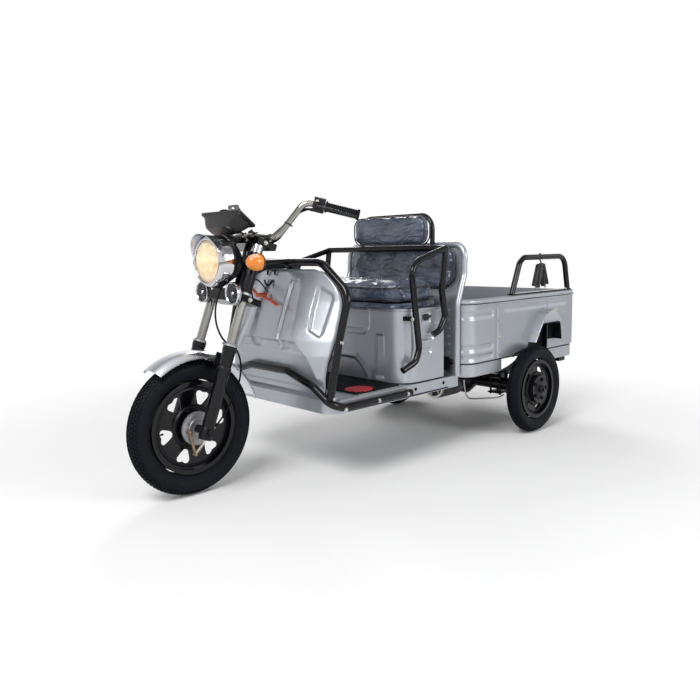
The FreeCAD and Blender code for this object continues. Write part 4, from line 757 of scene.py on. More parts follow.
for side in (1, -1):
    flip = Matrix.Diagonal((side, 1, 1, 1))
    for x, y, z, size in ((0, 21, 12, (14, 5, 8)), (-4, 21, -2, (10, 6, 10)), (6, 21, -14, (12, 5, 8))):
        join(knobs, brick(size, 1.5), flip @ switch_at @ shift(x, y, z))
    join(parts, brick((38, 1.6, 51.5), 0.6, 1), flip @ switch_at @ shift(0, 2, 1))
    join(parts, brick((20, 13, 20), 3), flip @ switch_at @ shift(-8, -43, 0))
    join(rods, bolt(5, 5, 6.5), flip @ switch_at @ shift(-4, -48, 9.5))
    join(rods, turned([(0, 22), (3, 22), (3.4, 12), (4.8, 11), (4.8, 3), (6, 2), (6, 0)], 16),
         facing(flip @ (switch_at @ Vector((-0.016, -0.044, 0))),
                flip.to_3x3() @ (switch_turn.to_3x3() @ Vector((-1, -0.25, -0.1)))))
piece("switch_shells", parts, plastic, "steering")
piece("switch_buttons", knobs, satin, "steering")
piece("lever_hardware", rods, zinc, "steering")
mesh = bmesh.new()
for x in (-34, 34):
    clamp = Matrix.Translation(fork_at(x, 10, 697)) @ Matrix.Rotation(-RAKE, 4, "X")
    join(mesh, brick((23, 36, 9), 2), clamp)
    for y in (-12, 12):
        join(mesh, bolt(4.5, 5, 6), clamp @ shift(0, y, 5.5))
join(mesh, turned([(0, 20), (15, 19), (17, 16), (17, 3), (22, 1), (22, -2)], 6),
     facing(fork_at(0, 35, 686), FORK_UP))
piece("bar_clamps", mesh, satin, "steering")
perch = Matrix.Diagonal((-1, 1, 1, 1)) @ (switch_at @ Vector((-0.036, -0.05, -0.004)))
cable("right_lever_cable",
      [perch, at(-205, 330, 985), at(-170, 290, 925), at(-142, 262, 868), at(-80, 240, 850),
       at(-46, 214, 780), at(-40, 196, 700)], 3.2, rubber, "steering")
for name, side in SIDES:
    box_foot = Matrix.Diagonal((side, 1, 1, 1)) @ (switch_at @ Vector((-0.018, -0.006, -0.022)))
    cable("switch_wires_" + name,
          [box_foot, at(side * 216, 352, 962), at(side * 190, 326, 944), at(side * 164, 296, 890),
           at(side * 140, 280, 850), at(side * 92, 262, 846), at(side * 52, 232, 820),
           at(side * 30, 214, 780)], 4.2, rubber, "steering")
mesh = bmesh.new()
for side in (1, -1):
    for place, way in ((at(side * 176, 302, 908), (0.35, 0.45, 1)), (at(side * 120, 268, 862), (1, 0.1, 0))):
        join(mesh, turned([(13.4, 2.6), (15.6, 2.4), (15.6, -2.4), (13.4, -2.6)], 24),
             facing(place, (way[0] * side, way[1], way[2])))
piece("cable_ties", mesh, plastic, "steering")

# Leg shield: one sheet of pressed steel, painted silver, with two pockets a side and a fold under the knees.
# It is bolted inside the crash bar, and a rubber edging covers its cut edge.
SHIELD_ROWS = [(751, 431, 112), (742, 424, 112), (700, 408, 116), (648, 388, 120), (505, 332, 143),
               (498, 331, 147), (452, 341, 205), (380, 352, 246), (303.3, 373, 240)]
SHIELD_EDGE = [(751, 437, 150), (748, 438, 172), (741, 440, 192), (728, 443, 212), (712, 447, 231),
               (694, 450, 248), (670, 452, 264), (640, 451, 274), (600, 440, 280), (544, 421, 283),
               (505, 404, 284), (452, 384, 281), (426, 376, 275), (380, 372, 266), (303.3, 378, 256)]


def shield(u, height):
    """A spot of the shield: from side to side, and up."""
    (deep, half), (edge_deep, edge_half) = between(SHIELD_ROWS, height), between(SHIELD_EDGE, height)
    share = abs(u)
    if share < 0.45:
        x, behind = half * share / 0.45, deep
    else:
        along = (share - 0.45) / 0.55
        x = half + (edge_half - half) * along
        behind = deep + (edge_deep - deep) * (0.72 * along + 0.28 * along ** 2)
    behind += 1100 * max(share - 0.965, 0) * (share - 0.965) * 5 + 0.06 * max(height - 744, 0) ** 2
    return at(math.copysign(x, u), behind, height), (x, height)


SHIELD_PRESSINGS = [
    ([(62, 466), (110, 470), (117, 538), (105, 607), (101, 700), (93, 710), (56, 710), (49, 702), (47, 640),
      (48, 520)], 11, 9),
    ([(190, 541), (230, 519), (238, 527), (244, 652), (236, 666), (190, 688), (182, 682), (183, 609)], 11, 9),
    ([(-60, 459), (178, 459), (150, 496), (-60, 496)], 7, 12),
    ([(-60, 316), (232, 316), (232, 324), (-60, 324)], -3.5, 6),
    ([(-60, 340), (196, 340), (214, 352), (206, 378), (-60, 384)], -3, 8)]
mesh = pressed(marks(-1, 1, 0.0165, -0.45, 0.45), marks(303.4, 751, 4.6, 498), shield, SHIELD_PRESSINGS,
               at(0, 620, 520))
piece("leg_shield_pressed", mesh, silver, "chassis", ("leg_shield",), 50)
edge = [at(side * (between(SHIELD_EDGE, z)[1] - 1), between(SHIELD_EDGE, z)[0] + 6.4, z)
        for side, heights in ((-1, range(310, 748, 12)), (1, range(742, 309, -12))) for z in heights]
cable("leg_shield_edging", edge, 2.6, rubber, "chassis")

# On the shield and the crash bar: a black bracket and bag hook of bent rod, zinc bolts through the tube's
# flattened ends, and the cable of the parking brake lever.
mesh = bmesh.new()
join(mesh, brick((26, 5, 62), 2), spot(-74, 426, 742))
join(mesh, brick((74, 14, 8), 2), spot(-74, 421, 760))
for x in (-96, -52):
    join(mesh, turned([(0, 0), (4, 0), (4, 28), (0, 30)], 12), facing(at(x, 419, 757), (0, -0.2, -1)))
piece("hook_bracket", mesh, satin, "chassis")
cable("bag_hook",
      [at(-74, 424, 716), at(-74, 414, 700), at(-74, 404, 690), at(-74, 392, 690), at(-74, 384, 700),
       at(-74, 382, 712)], 3.6, satin, "chassis")
mesh = bmesh.new()
for side in (1, -1):
    for place, way in (((side * 334, 396, 281), (side, 0, -0.4)), ((side * 334, 560, 281), (side, 0, 0)),
                       ((side * 334, 716, 281), (side, 0, 0)), ((side * 316, 397, 505), (side, 0, 0)),
                       ((side * 318, 352, 318), (side, 0, 0))):
        join(mesh, bolt(5.5, 6, 8), facing(at(*place) + Vector(way).normalized() * 0.0125, way))
piece("crash_bar_bolts", mesh, zinc, "chassis")
cable("lever_cable",
      [at(-20, 356, 668), at(-40, 352, 690), at(-72, 348, 716), at(-106, 350, 712), at(-128, 356, 690),
       at(-134, 368, 640)], 2.6, rubber, "chassis")

# Footwell: a ribbed rubber mat with plain red inlays, laid loose on the floor pan.
# A ribbed metal tread strip is screwed along each side, over a rubber strip on the skirt.
MAT_LOW, MAT_TOP, STRIP_X = 303.2, 309, 309.5
mesh = bmesh.new()
join(mesh, brick((592, 224, 3.4), 1), spot(0, 614, MAT_LOW + 1.9))
for step in range(27):
    if abs(step - 13) > 1:
        join(mesh, brick((9, 214, 2.6), 1.1, 1), spot((step - 13) * 21.4, 614, MAT_TOP - 1.6))
join(mesh, brick((40, 214, 2.6), 1.1, 1), spot(0, 614, MAT_TOP - 1.6))
for behind in (505.5, 722.5):
    join(mesh, brick((590, 7, 5.4), 2), spot(0, behind, MAT_LOW + 2.9))
piece("floor_mat_ribbed", mesh, rubber, "chassis", ("floor_mat",))
inlay = finish("mat_red", (0.42, 0.012, 0.016), (0.5, 0.02, 0.024), (0.45, 0.6), 0, 0.1, 60, 0.1)
mesh = bmesh.new()
for side in (1, -1):
    join(mesh, turned([(0, 2.4), (40, 2.2), (44, 1.2), (44, 0)], 40),
         spot(side * 236, 566, MAT_TOP - 1.7) @ Matrix.Diagonal((1.15, 1.25, 1, 1)))
piece("mat_inlays", mesh, inlay, "chassis")
mesh = bmesh.new()
for side in (1, -1):
    join(mesh, brick((20, 330, 3), 1), spot(side * STRIP_X, 560, 304.6))
    for step in range(16):
        join(mesh, brick((14, 5, 1.6), 0.6, 1), spot(side * STRIP_X, 405 + step * 20.6, 306.4))
piece("tread_strips", mesh, cast, "chassis")
mesh = bmesh.new()
for side in (1, -1):
    join(mesh, brick((3, 560, 5), 1.2), spot(side * 321, 710, 262))
    for behind in (450, 620, 790, 960):
        join(mesh, bolt(4.5, 4, 6.5), facing(at(side * 320, behind, 284), (side, 0, 0)))
piece("floor_skirt_trim", mesh, rubber, "chassis")

# Seat box: a steel apron pressed with panels and louvres and wrapped round the battery, open at the top.
# Two round locks hold the seat board, and rubber seals run along both edges.
BOX_HALF, BOX_FRONT, BOX_BACK, BOX_BEND = 310, 730, 974, 85


def apron_place(run, height):
    """A spot of the apron: along the sheet from its middle, and up."""
    flat, arc = BOX_HALF - BOX_BEND, BOX_BEND * math.pi / 2
    side, far = math.copysign(1, run), abs(run)
    if far < flat:
        x, behind = far, BOX_FRONT
    elif far < flat + arc:
        turn = (far - flat) / BOX_BEND
        x, behind = flat + BOX_BEND * math.sin(turn), BOX_FRONT + BOX_BEND * (1 - math.cos(turn))
    else:
        x, behind = BOX_HALF, BOX_FRONT + BOX_BEND + far - flat - arc
    return at(side * x, behind, height), (far, height)


SIDE_START = BOX_HALF - BOX_BEND + BOX_BEND * math.pi / 2


def on_side(behind):
    """How far along the sheet a spot of its side lies."""
    return SIDE_START + behind - BOX_FRONT - BOX_BEND


APRON_PRESSINGS = [
    ([(-60, 508), (126, 508), (132, 516), (132, 576), (126, 584), (-60, 584)], 10, 10),
    ([(-60, 486), (106, 486), (114, 494), (114, 502), (106, 508), (-60, 508)], -3, 8),
    ([(-60, 290), (141, 290), (141, 318), (103, 374), (64, 402), (-60, 406)], -7, 10),
    ([(-60, 290), (124, 290), (124, 314), (92, 362), (58, 388), (-60, 391)], 5, 8),
    ([(170, 322), (206, 322), (210, 330), (210, 484), (204, 490), (174, 490), (168, 482), (168, 330)], 5, 9),
    ([(300, 318), (322, 318), (322, 560), (300, 560)], 4, 9),
    ([(on_side(830), 466), (on_side(906), 466), (on_side(910), 472), (on_side(910), 488),
      (on_side(830), 492)], 6, 9),
    ([(on_side(836), 412), (on_side(894), 412), (on_side(898), 418), (on_side(898), 430),
      (on_side(836), 434)], 6, 9),
    ([(on_side(897), 518), (on_side(955), 518), (on_side(955), 580), (on_side(897), 580)], 6, 9),
    ([(on_side(842), 532), (on_side(892), 532), (on_side(892), 576), (on_side(842), 576)], 4, 8),
    ([(-60, 584), (900, 584), (900, 600), (-60, 600)], -2.4, 3)]
RUN_END = on_side(BOX_BACK)
mesh = pressed(marks(-RUN_END, RUN_END, 5), marks(303.6, 592, 4.4, 583, 585), apron_place, APRON_PRESSINGS,
               at(0, 900, 450))
join(mesh, brick((2 * BOX_HALF - 2, 3, 288), 1), spot(0, BOX_BACK - 1.5, 447.8))
for z in (350, 550):
    join(mesh, brick((2 * BOX_HALF - 80, 4, 16), 2), spot(0, BOX_BACK, z))
piece("seat_box_pressed", mesh, silver, "chassis", ("seat_box",), 50)
mesh = bmesh.new()
for side in (1, -1):
    lock = facing(at(side * 309, 867, 554), (side, 0, 0))
    join(mesh, turned([(0, 5), (9, 5), (12, 3), (14, 0)], 28), lock @ Matrix.Diagonal((1.45, 0.95, 1, 1)))
    join(mesh, brick((30, 11, 11), 3), lock @ shift(4, 3, 6))
piece("seat_box_locks", mesh, plastic, "chassis")
cable("seat_box_seal", [apron_place(run, 590)[0] for run in marks(-RUN_END, RUN_END, 12)], 2.6, rubber,
      "chassis")
cable("seat_box_foot_seal", [apron_place(run, 305)[0] for run in marks(-RUN_END, RUN_END, 12)], 2.2, rubber,
      "chassis")

# Cushions: foam under dark blue-grey vinyl, sewn with piping, and still in the clear creased film of
# delivery. Each is stapled to its board, and swells between its edges and its one sewn channel.
# The creases' noise has a fixed seed, so they lie the same way in every run.
noise.seed_set(3)
# The lighter of the two vinyl colours, mixed in by noise, is partly the film's own whitish haze and partly
# painted sheen of the film's highlights.
vinyl = finish("film_over_vinyl", (0.036, 0.047, 0.077), (0.1, 0.122, 0.168), (0.13, 0.3), 0, 0.22, 90, 0)
tree = vinyl.node_tree
space = tree.nodes.new("ShaderNodeTexCoord").outputs["Object"]
waves = linked(tree, "ShaderNodeTexNoise", 0, None, Vector=space, Scale=9.0, Detail=5.0, Roughness=0.62,
               Distortion=1.6)
slanted = linked(tree, "ShaderNodeMapping", 0, None, Vector=space)
slanted.inputs["Rotation"].default_value = (0.5, 0.6, 0.4)
slanted.inputs["Scale"].default_value = (1.0, 1.0, 2.6)
creases = linked(tree, "ShaderNodeTexNoise", 0, None, noise_type="RIDGED_MULTIFRACTAL",
                 Vector=slanted.outputs[0], Scale=13.0, Detail=3.0, Roughness=0.45, Distortion=0.9)
lifted = linked(tree, "ShaderNodeBump", 0, None, Height=creases.outputs[0], Strength=1.0, Distance=0.01)
linked(tree, "ShaderNodeBump", 0, tree.nodes["Principled BSDF"].inputs["Normal"], Height=waves.outputs[0],
       Normal=lifted.outputs[0], Strength=0.5, Distance=0.006)
piping = finish("piping", (0.012, 0.013, 0.017), (0.02, 0.021, 0.026), (0.3, 0.45), 0, 0.3, 80, 0.1)


def rounded_slab(size, corner, edge):
    """A slab with round corners and softer edges."""
    mesh = bmesh.new()
    bmesh.ops.create_cube(mesh, size=0.001)
    bmesh.ops.scale(mesh, vec=size, verts=mesh.verts)
    upright = [e for e in mesh.edges if abs(e.verts[0].co.z - e.verts[1].co.z) > size[2] / 2000]
    bmesh.ops.bevel(mesh, geom=upright, offset=corner / 1000, segments=8, profile=0.5, affect="EDGES",
                    material=-1)
    rims = [e for e in mesh.edges
            if abs(e.calc_face_angle(0)) > 0.9 and abs(e.verts[0].co.z - e.verts[1].co.z) < 1e-5]
    bmesh.ops.bevel(mesh, geom=rims, offset=edge / 1000, segments=4, profile=0.5, affect="EDGES", material=-1)
    return mesh


UPRIGHT = [(0, 0), (2000, 0)]
LEANING = [(590, -64.3), (712, -18.3), (833, -11.3), (900, -9)]


def leaned(place, line):
    """A point moved back by what a table gives at its height."""
    return place + Vector((0, between(line, place.z * 1000)[0] / 1000, 0))


def cushion(name, size, corner, edge, place, body, replaced, pressure, seams, reach, line=UPRIGHT):
    """A padded slab: swollen by cloth pressure, held at its back and seams, and creased."""
    made = piece(name, rounded_slab(size, corner, edge), vinyl, body, (replaced,), 60)
    bpy.context.view_layer.objects.active = made
    remesh = made.modifiers.new("remesh", "REMESH")
    remesh.mode, remesh.voxel_size = "VOXEL", 0.0055
    bpy.ops.object.modifier_apply(modifier=remesh.name)
    held = made.vertex_groups.new(name="held")
    half = size[2] / 2000
    low = [v.index for v in made.data.vertices if v.co.z < -half + 0.009]
    sewn = [v.index for v in made.data.vertices
            if v.co.z > 0 and any(abs(v.co[axis] - where / 1000) < 0.0045 for axis, where in seams)]
    held.add(low + sewn, 1.0, "REPLACE")
    cloth = made.modifiers.new("cloth", "CLOTH")
    cloth.settings.use_pressure = True
    cloth.settings.uniform_pressure_force = pressure
    cloth.settings.vertex_group_mass = "held"
    cloth.settings.effector_weights.gravity = 0
    cloth.settings.quality = 4
    cloth.settings.tension_stiffness = cloth.settings.compression_stiffness = 26
    cloth.settings.shear_stiffness = 12
    cloth.point_cache.frame_start, cloth.point_cache.frame_end = 1, 20
    for frame in range(1, 17):
        bpy.context.scene.frame_set(frame)
    before = [v.co.copy() for v in made.data.vertices]
    bpy.ops.object.modifier_apply(modifier=cloth.name)
    for vert, was in zip(made.data.vertices, before):
        move = vert.co - was
        if move.length > reach / 1000:
            vert.co = was + move.normalized() * reach / 1000
    bpy.context.scene.frame_set(1)
    smooth = made.modifiers.new("smooth", "SMOOTH")
    smooth.factor, smooth.iterations = 0.5, 2
    bpy.ops.object.modifier_apply(modifier=smooth.name)
    for vert in made.data.vertices:
        drift = noise.noise_vector(vert.co * 7) * 0.35
        wander = Vector((vert.co.x * 9 + vert.co.y * 7, vert.co.y * 9 - vert.co.x * 5,
                         vert.co.z * 13)) + drift
        fold = 1 - min(abs(noise.noise(wander)) * 3.2, 1)
        finer = 1 - min(abs(noise.noise(wander * 2.3)) * 3.0, 1)
        vert.co += vert.normal * (fold ** 2 * 0.0026 + finer ** 2 * 0.0012 - 0.001)
    for vert in made.data.vertices:
        vert.co = leaned(place @ vert.co, line)
    for poly in made.data.polygons:
        poly.use_smooth = True
    return made


def outline_run(size, corner, height, place, inset=0.0, line=UPRIGHT):
    """Points round a cushion for its piping."""
    run = []
    for sx, sy, start in QUARTERS:
        for step in range(7):
            turn = math.radians(start + 15 * step)
            x = sx * (size[0] / 2 - corner) + (corner - inset) * math.cos(turn)
            y = sy * (size[1] / 2 - corner) + (corner - inset) * math.sin(turn)
            run.append(leaned(place @ Vector((x / 1000, y / 1000, height / 1000)), line))
    return run + run[:1]


show(vinyl, "seat_board")
seat_place = spot(0, 842.5, 654)
cushion("seat_cushion_sewn", (568, 264, 76), 60, 20, seat_place, "seat", "seat_cushion", 5.0, ((0, 0),), 9)
for height in (-27, 18):
    cable("seat_piping_" + ("low" if height < 0 else "high"),
          outline_run((578, 274), 62, height, seat_place, 1.5), 3, piping, "seat")
low_place = spot(0, 1078.5, 742) @ Matrix.Rotation(math.radians(90), 4, "X")
cushion("back_cushion_lower_sewn", (586, 168, 30), 54, 12, low_place, "chassis", "back_cushion_lower", 5.0,
        ((0, 0),), 7, LEANING)
cable("back_low_piping", outline_run((598, 178), 58, 8, low_place, 1.5, LEANING), 2.8, piping, "chassis")
high_place = spot(0, 1002.3, 893.5) @ Matrix.Rotation(math.radians(90), 4, "X")
cushion("back_cushion_upper_sewn", (398, 113, 42), 38, 14, high_place, "chassis", "back_cushion_upper", 5.0,
        ((0, 0),), 6)
for height in (-19, 15):
    cable("back_high_piping_" + ("rear" if height < 0 else "front"),
          outline_run((406, 119), 42, height, high_place, 1.5), 2.8, piping, "chassis")

# Cargo box: a pressed silver front wrapped round both corners, and two sides screwed to it at an upright
# seam. A rolled rail runs round the top, and rubber seals lie under it, along the deck and round the arches.
WALL_HALF, WALL_FRONT, WALL_BEND, WALL_LOW, WALL_TOP, SEAM, WALL_END = 361, 1059, 70, 345.3, 590, 1262, 1893
WALL_FLAT = WALL_HALF - WALL_BEND
WALL_SIDE = WALL_FLAT + WALL_BEND * math.pi / 2


def wall_place(run, height, grow=0.0):
    """A spot of the cargo box's wall: along the sheet from its middle, and up."""
    side, far = math.copysign(1, run), abs(run)
    bend = WALL_BEND + grow
    if far < WALL_FLAT:
        x, behind = far, WALL_FRONT - grow
    elif far < WALL_SIDE:
        turn = (far - WALL_FLAT) / WALL_BEND
        x, behind = WALL_FLAT + bend * math.sin(turn), WALL_FRONT + WALL_BEND - bend * math.cos(turn)
    else:
        x, behind = WALL_HALF + grow, WALL_FRONT + WALL_BEND + far - WALL_SIDE
    return at(side * x, behind, height), (far, height)


def on_wall(behind):
    """How far along the wall a spot of its side lies."""
    return WALL_SIDE + behind - WALL_FRONT - WALL_BEND


BEAD_END = on_wall(1238)
FRONT_BEADS = [([(300, low), (BEAD_END, low), (BEAD_END + 6, low + 6), (BEAD_END + 6, high - 6),
                 (BEAD_END, high), (300, high)], 4.5, 9)
               for low, high in ((530, 558), (396, 420), (358, 378))]
front = pressed(marks(-on_wall(SEAM), on_wall(SEAM), 5), marks(WALL_LOW, WALL_TOP, 4.6), wall_place,
                FRONT_BEADS, at(0, 1400, 460))
piece("cargo_front_pressed", front, silver, "chassis", ("cargo_front",), 50)
OPENING = [(SEAM, WALL_LOW), (1396, WALL_LOW), (1404, 352), (1509, 368), (1519, 398), (1553, 452),
           (1571, 474), (1679, 474), (1679.4, WALL_LOW), (WALL_END, WALL_LOW)]


def side_wall(behind, share):
    """A spot of the side: behind the front axle, and the share of its height."""
    low = between(OPENING, behind)[0]
    height = low + (WALL_TOP - low) * share
    return at(WALL_HALF, behind, height), (behind, height)


SIDE_BEADS = [([(SEAM + 4, 300), (SEAM + 14, 300), (SEAM + 14, 586), (SEAM + 4, 586)], 3.5, 6),
              ([(1330, 546), (1840, 546), (1846, 552), (1846, 560), (1840, 566), (1330, 566), (1324, 560),
                (1324, 552)], 3, 9)]
columns = marks(SEAM + 1, WALL_END, 6, 1396, 1404, 1509, 1519, 1553, 1571, 1679, 1679.4)
sides = bmesh.new()
for side in (1, -1):
    wall = pressed(columns, marks(0, 1, 0.022), side_wall, SIDE_BEADS, at(0, 1560, 460))
    if side < 0:
        bmesh.ops.scale(wall, vec=(-1, 1, 1), verts=wall.verts)
        bmesh.ops.reverse_faces(wall, faces=wall.faces[:])
    join(sides, wall)
    join(sides, brick((16, 14, 262), 3), spot(side * 352, 1886, 478))
piece("cargo_sides_pressed", sides, silver, "chassis", ("cargo_sides",), 50)
rail = [wall_place(run, 599, -3)[0] for run in marks(-on_wall(1880), on_wall(1880), 16)]
cable("cargo_rail", [at(356, WALL_END, 599)] + rail[::-1] + [at(-356, WALL_END, 599)], 10.8, silver,
      "chassis")
cable("cargo_rail_seam", [wall_place(run, 589, 1.5)[0] for run in marks(-on_wall(1890), on_wall(1890), 16)],
      1.6, rubber, "chassis")
cable("deck_seam", [wall_place(run, 345, 1)[0] for run in marks(-on_wall(1400), on_wall(1400), 16)], 2.4,
      rubber, "chassis")
for name, side in SIDES:
    cable("deck_seam_rear_" + name, [at(side * 362, behind, 345) for behind in range(1682, 1894, 20)], 2.4,
          rubber, "chassis")
    skirt = [at(side * 363, b, between(OPENING, b)[0] - 1) for b in (1400, 1420, 1450, 1480, 1506)]
    cable("skirt_edging_" + name, [at(side * 363, 1392, 343)] + skirt, 4.2, rubber, "chassis")
    lips = [(232, 391), (230, 404), (225, 438), (218, 466), (212, 472), (205, 474), (140, 474), (82, 474),
            (74, 474), (66, 466), (56, 452), (38, 424), (21, 396)]
    cable("arch_edging_" + name, [at(side * 404, REAR_STATION + b, z) for b, z in lips], 3.4, rubber,
          "chassis")

# Wheel arches: a pressed flare with rounded edges is welded round each opening, and a folded liner closes
# it inside. Both are painted silver. Thin black sheets inside the arches are painted shade: on the liner,
# under the flare, on its legs and on the side behind it.
FLARE = [(13, 396), (57, 467), (93, 512), (141, 530), (173, 534), (236, 480), (258, 391), (232, 391),
         (218, 466), (205, 474), (74, 474), (56, 452), (21, 396)]
FLARE_MID = 382.6
flares = bmesh.new()
for side in (1, -1):
    flare = bmesh.new()
    ring = [flare.verts.new(at(360.6, REAR_STATION + behind, height)) for behind, height in FLARE]
    flat = flare.faces.new(ring)
    grown = bmesh.ops.extrude_face_region(flare, geom=[flat])
    tips = [v for v in grown["geom"] if isinstance(v, bmesh.types.BMVert)]
    bmesh.ops.translate(flare, vec=(0.0446, 0, 0), verts=tips)
    rims = [e for e in flare.edges if e.verts[0].co.x > 0.39 and e.verts[1].co.x > 0.39]
    bmesh.ops.bevel(flare, geom=rims, offset=0.0036, segments=3, profile=0.5, affect="EDGES", material=-1)
    if side < 0:
        bmesh.ops.scale(flare, vec=(-1, 1, 1), verts=flare.verts)
    bmesh.ops.recalc_face_normals(flare, faces=flare.faces[:])
    join(flares, flare)
    join(flares, brick((30, 382, 3), 1), spot(side * 345, REAR_STATION, 481))
    join(flares, brick((3, 382, 136), 1), spot(side * 331.5, REAR_STATION, 414))
    for behind in (1305.5, 1684.5):
        join(flares, brick((30, 3, 136), 1), spot(side * 345, behind, 414))
piece("wheel_arch_flares", flares, silver, "chassis", ("wheel_arches",), 40)
# Painted shade: thin black sheets laid inside each arch, where shade falls.
mesh = bmesh.new()
for side in (1, -1):
    join(mesh, brick((1, 374, 130), 0), spot(side * 333.8, REAR_STATION, 412))
    join(mesh, brick((26, 374, 1), 0), spot(side * 347, REAR_STATION, 478.8))
    for behind in (1307.8, 1682.2):
        join(mesh, brick((26, 1, 130), 0), spot(side * 347, behind, 412))
    join(mesh, brick((1, 46, 82), 0), spot(side * 363.4, 1704, 432))
    join(mesh, brick((42, 131, 1), 0), spot(side * FLARE_MID, 1634.5, 473.2))
    join(mesh, brick((42, 1, 76), 0),
         spot(side * FLARE_MID, 1718.8, 428.5) @ Matrix.Rotation(math.radians(10.6), 4, "X"))
    join(mesh, brick((42, 1, 66), 0),
         spot(side * FLARE_MID, 1534.5, 423.5) @ Matrix.Rotation(math.radians(-32), 4, "X"))
piece("arch_painted_shade", mesh, rubber, "chassis")

# Cargo fittings: zinc screws at the seams, the flares and the hoops' feet, and the front edge.
# Inside the box, long shallow ribs are pressed in the loading plate.
mesh = bmesh.new()
for side in (1, -1):
    for z in (372, 440, 508, 574):
        join(mesh, bolt(4.2, 3, 6), facing(at(side * 362.6, SEAM + 24, z), (side, 0, 0)))
    for b, z in ((30, 424), (118, 518), (182, 527), (244, 440)):
        join(mesh, bolt(4.2, 4, 6.5),
             facing(at(side * 388, REAR_STATION + b, z), (side, 0, 0.2)) @ shift(0, 0, 16.5))
    for behind in (1400, 1644, 1866):
        join(mesh, bolt(4.6, 4, 7), facing(at(side * 347, behind, 615.6), (0, 0, 1)))
for x in (-240, -120, 0, 120, 240):
    join(mesh, bolt(4.6, 4, 7), facing(at(x, WALL_FRONT - 0.6, 566), (0, -1, 0)))
piece("cargo_screws", mesh, zinc, "chassis")
mesh = bmesh.new()
for step in range(11):
    join(mesh, brick((18, 760, 3), 1.2, 1), spot(-270 + step * 54, 1478, 348))
piece("deck_ribs", mesh, silver, "chassis")

# Elastic load strap: flat woven rubber, folded double and hung from the left arch rail by its own cord.
# Its two wire hooks hang at the folds.
hazy = finish("strap_rubber", (0.02, 0.02, 0.022), (0.04, 0.038, 0.036), (0.5, 0.7), 0, 0, 200, 0.4, 0.0004)
cable("strap_cord",
      [at(347, 1634, 786), at(334, 1636, 784), at(332, 1638, 768), at(343, 1640, 752), at(347, 1640, 742)], 3,
      hazy, "chassis")
mesh = bmesh.new()
for x, behind, high, low_at, low in ((342, 1622, 738, 1588, 640), (352, 1630, 742, 1604, 632),
                                     (345, 1650, 742, 1664, 636), (353, 1642, 738, 1680, 646),
                                     (348, 1636, 744, 1632, 676)):
    top, foot = at(x, behind, high), at(x - 1, low_at, low)
    turn = (foot - top).to_track_quat("Z", "X").to_matrix().to_4x4()
    join(mesh, brick((10, 22, (foot - top).length * 1000), 4, 3), Matrix.Translation((top + foot) / 2) @ turn)
join(mesh, brick((26, 50, 13), 5, 3), spot(347, 1636, 716))
join(mesh, brick((24, 42, 9), 4, 3), spot(347, 1636, 736))
piece("load_strap", mesh, hazy, "chassis")
for index, (behind, low) in enumerate(((1590, 644), (1672, 642))):
    cable("strap_hook_" + str(index + 1),
          [at(347, behind, low + 8), at(347, behind - 2, low - 8), at(347, behind + 6, low - 14),
           at(347, behind + 14, low - 8), at(347, behind + 13, low + 2)], 2.2, zinc, "chassis")

# Tailgate: a flat steel panel with a folded frame, two pressed beads and three ribs, all in silver.
# A zinc latch at each upper corner holds it to the box, with a chain behind it.
mesh = bmesh.new()
for z in (372, 590):
    join(mesh, brick((700, 7, 16), 3), spot(0, 1917.5, z))
for x in (-346, 346):
    join(mesh, brick((16, 7, 226), 3), spot(x, 1917.5, 481))
for z in (436, 528):
    join(mesh, brick((600, 5, 26), 2.4), spot(0, 1917, z))
for x in (-200, 0, 200):
    join(mesh, brick((18, 5, 180), 2.4), spot(x, 1916.8, 482))
piece("tailgate_frame", mesh, silver, "tailgate")
mesh = bmesh.new()
for side in (1, -1):
    join(mesh, brick((26, 9, 60), 2.5), spot(side * 330, 1920, 572))
    join(mesh, turned([(0, 8), (7, 7), (8, 4), (8, 0)], 18), facing(at(side * 330, 1919.8, 590), (0, 1, 0)))
    join(mesh, brick((34, 4, 9), 1.5), spot(side * 340, 1924, 590))
piece("tailgate_latches", mesh, zinc, "tailgate")
for name, side in SIDES:
    chain = [at(side * 322, 1914, 560), at(side * 322, 1908, 520), at(side * 330, 1894, 470),
             at(side * 340, 1884, 500), at(side * 346, 1880, 560)]
    cable("tailgate_chain_" + name, chain, 2.4, zinc, "tailgate")

# Headboard: level beads are pressed across the sheet behind the seat, and a rubber flap closes the gap
# below it. Bolts fix it through the hoop, and the handrails beside the seat box.
mesh = bmesh.new()
for z in (396, 430, 464, 498, 532, 566):
    join(mesh, brick((592, 5, 13), 2.2), spot(0, 1032.4, z))
    join(mesh, brick((592, 4, 13), 1.9), spot(0, 1036.6, z))
piece("headboard_beads", mesh, silver, "chassis")
mesh = bmesh.new()
join(mesh, brick((588, 5, 56), 2), spot(0, 1034, 350))
piece("headboard_flap", mesh, rubber, "chassis")
mesh = bmesh.new()
for side in (1, -1):
    for z in (430, 566):
        join(mesh, bolt(6, 6, 9), facing(at(side * 329, 1034, z), (side, 0, 0)))
    for behind, z in ((756, 556), (782, 556)):
        join(mesh, bolt(5, 5, 7.5), facing(at(side * 335, behind, z), (side, -0.1, 0)))
piece("headboard_bolts", mesh, zinc, "chassis")

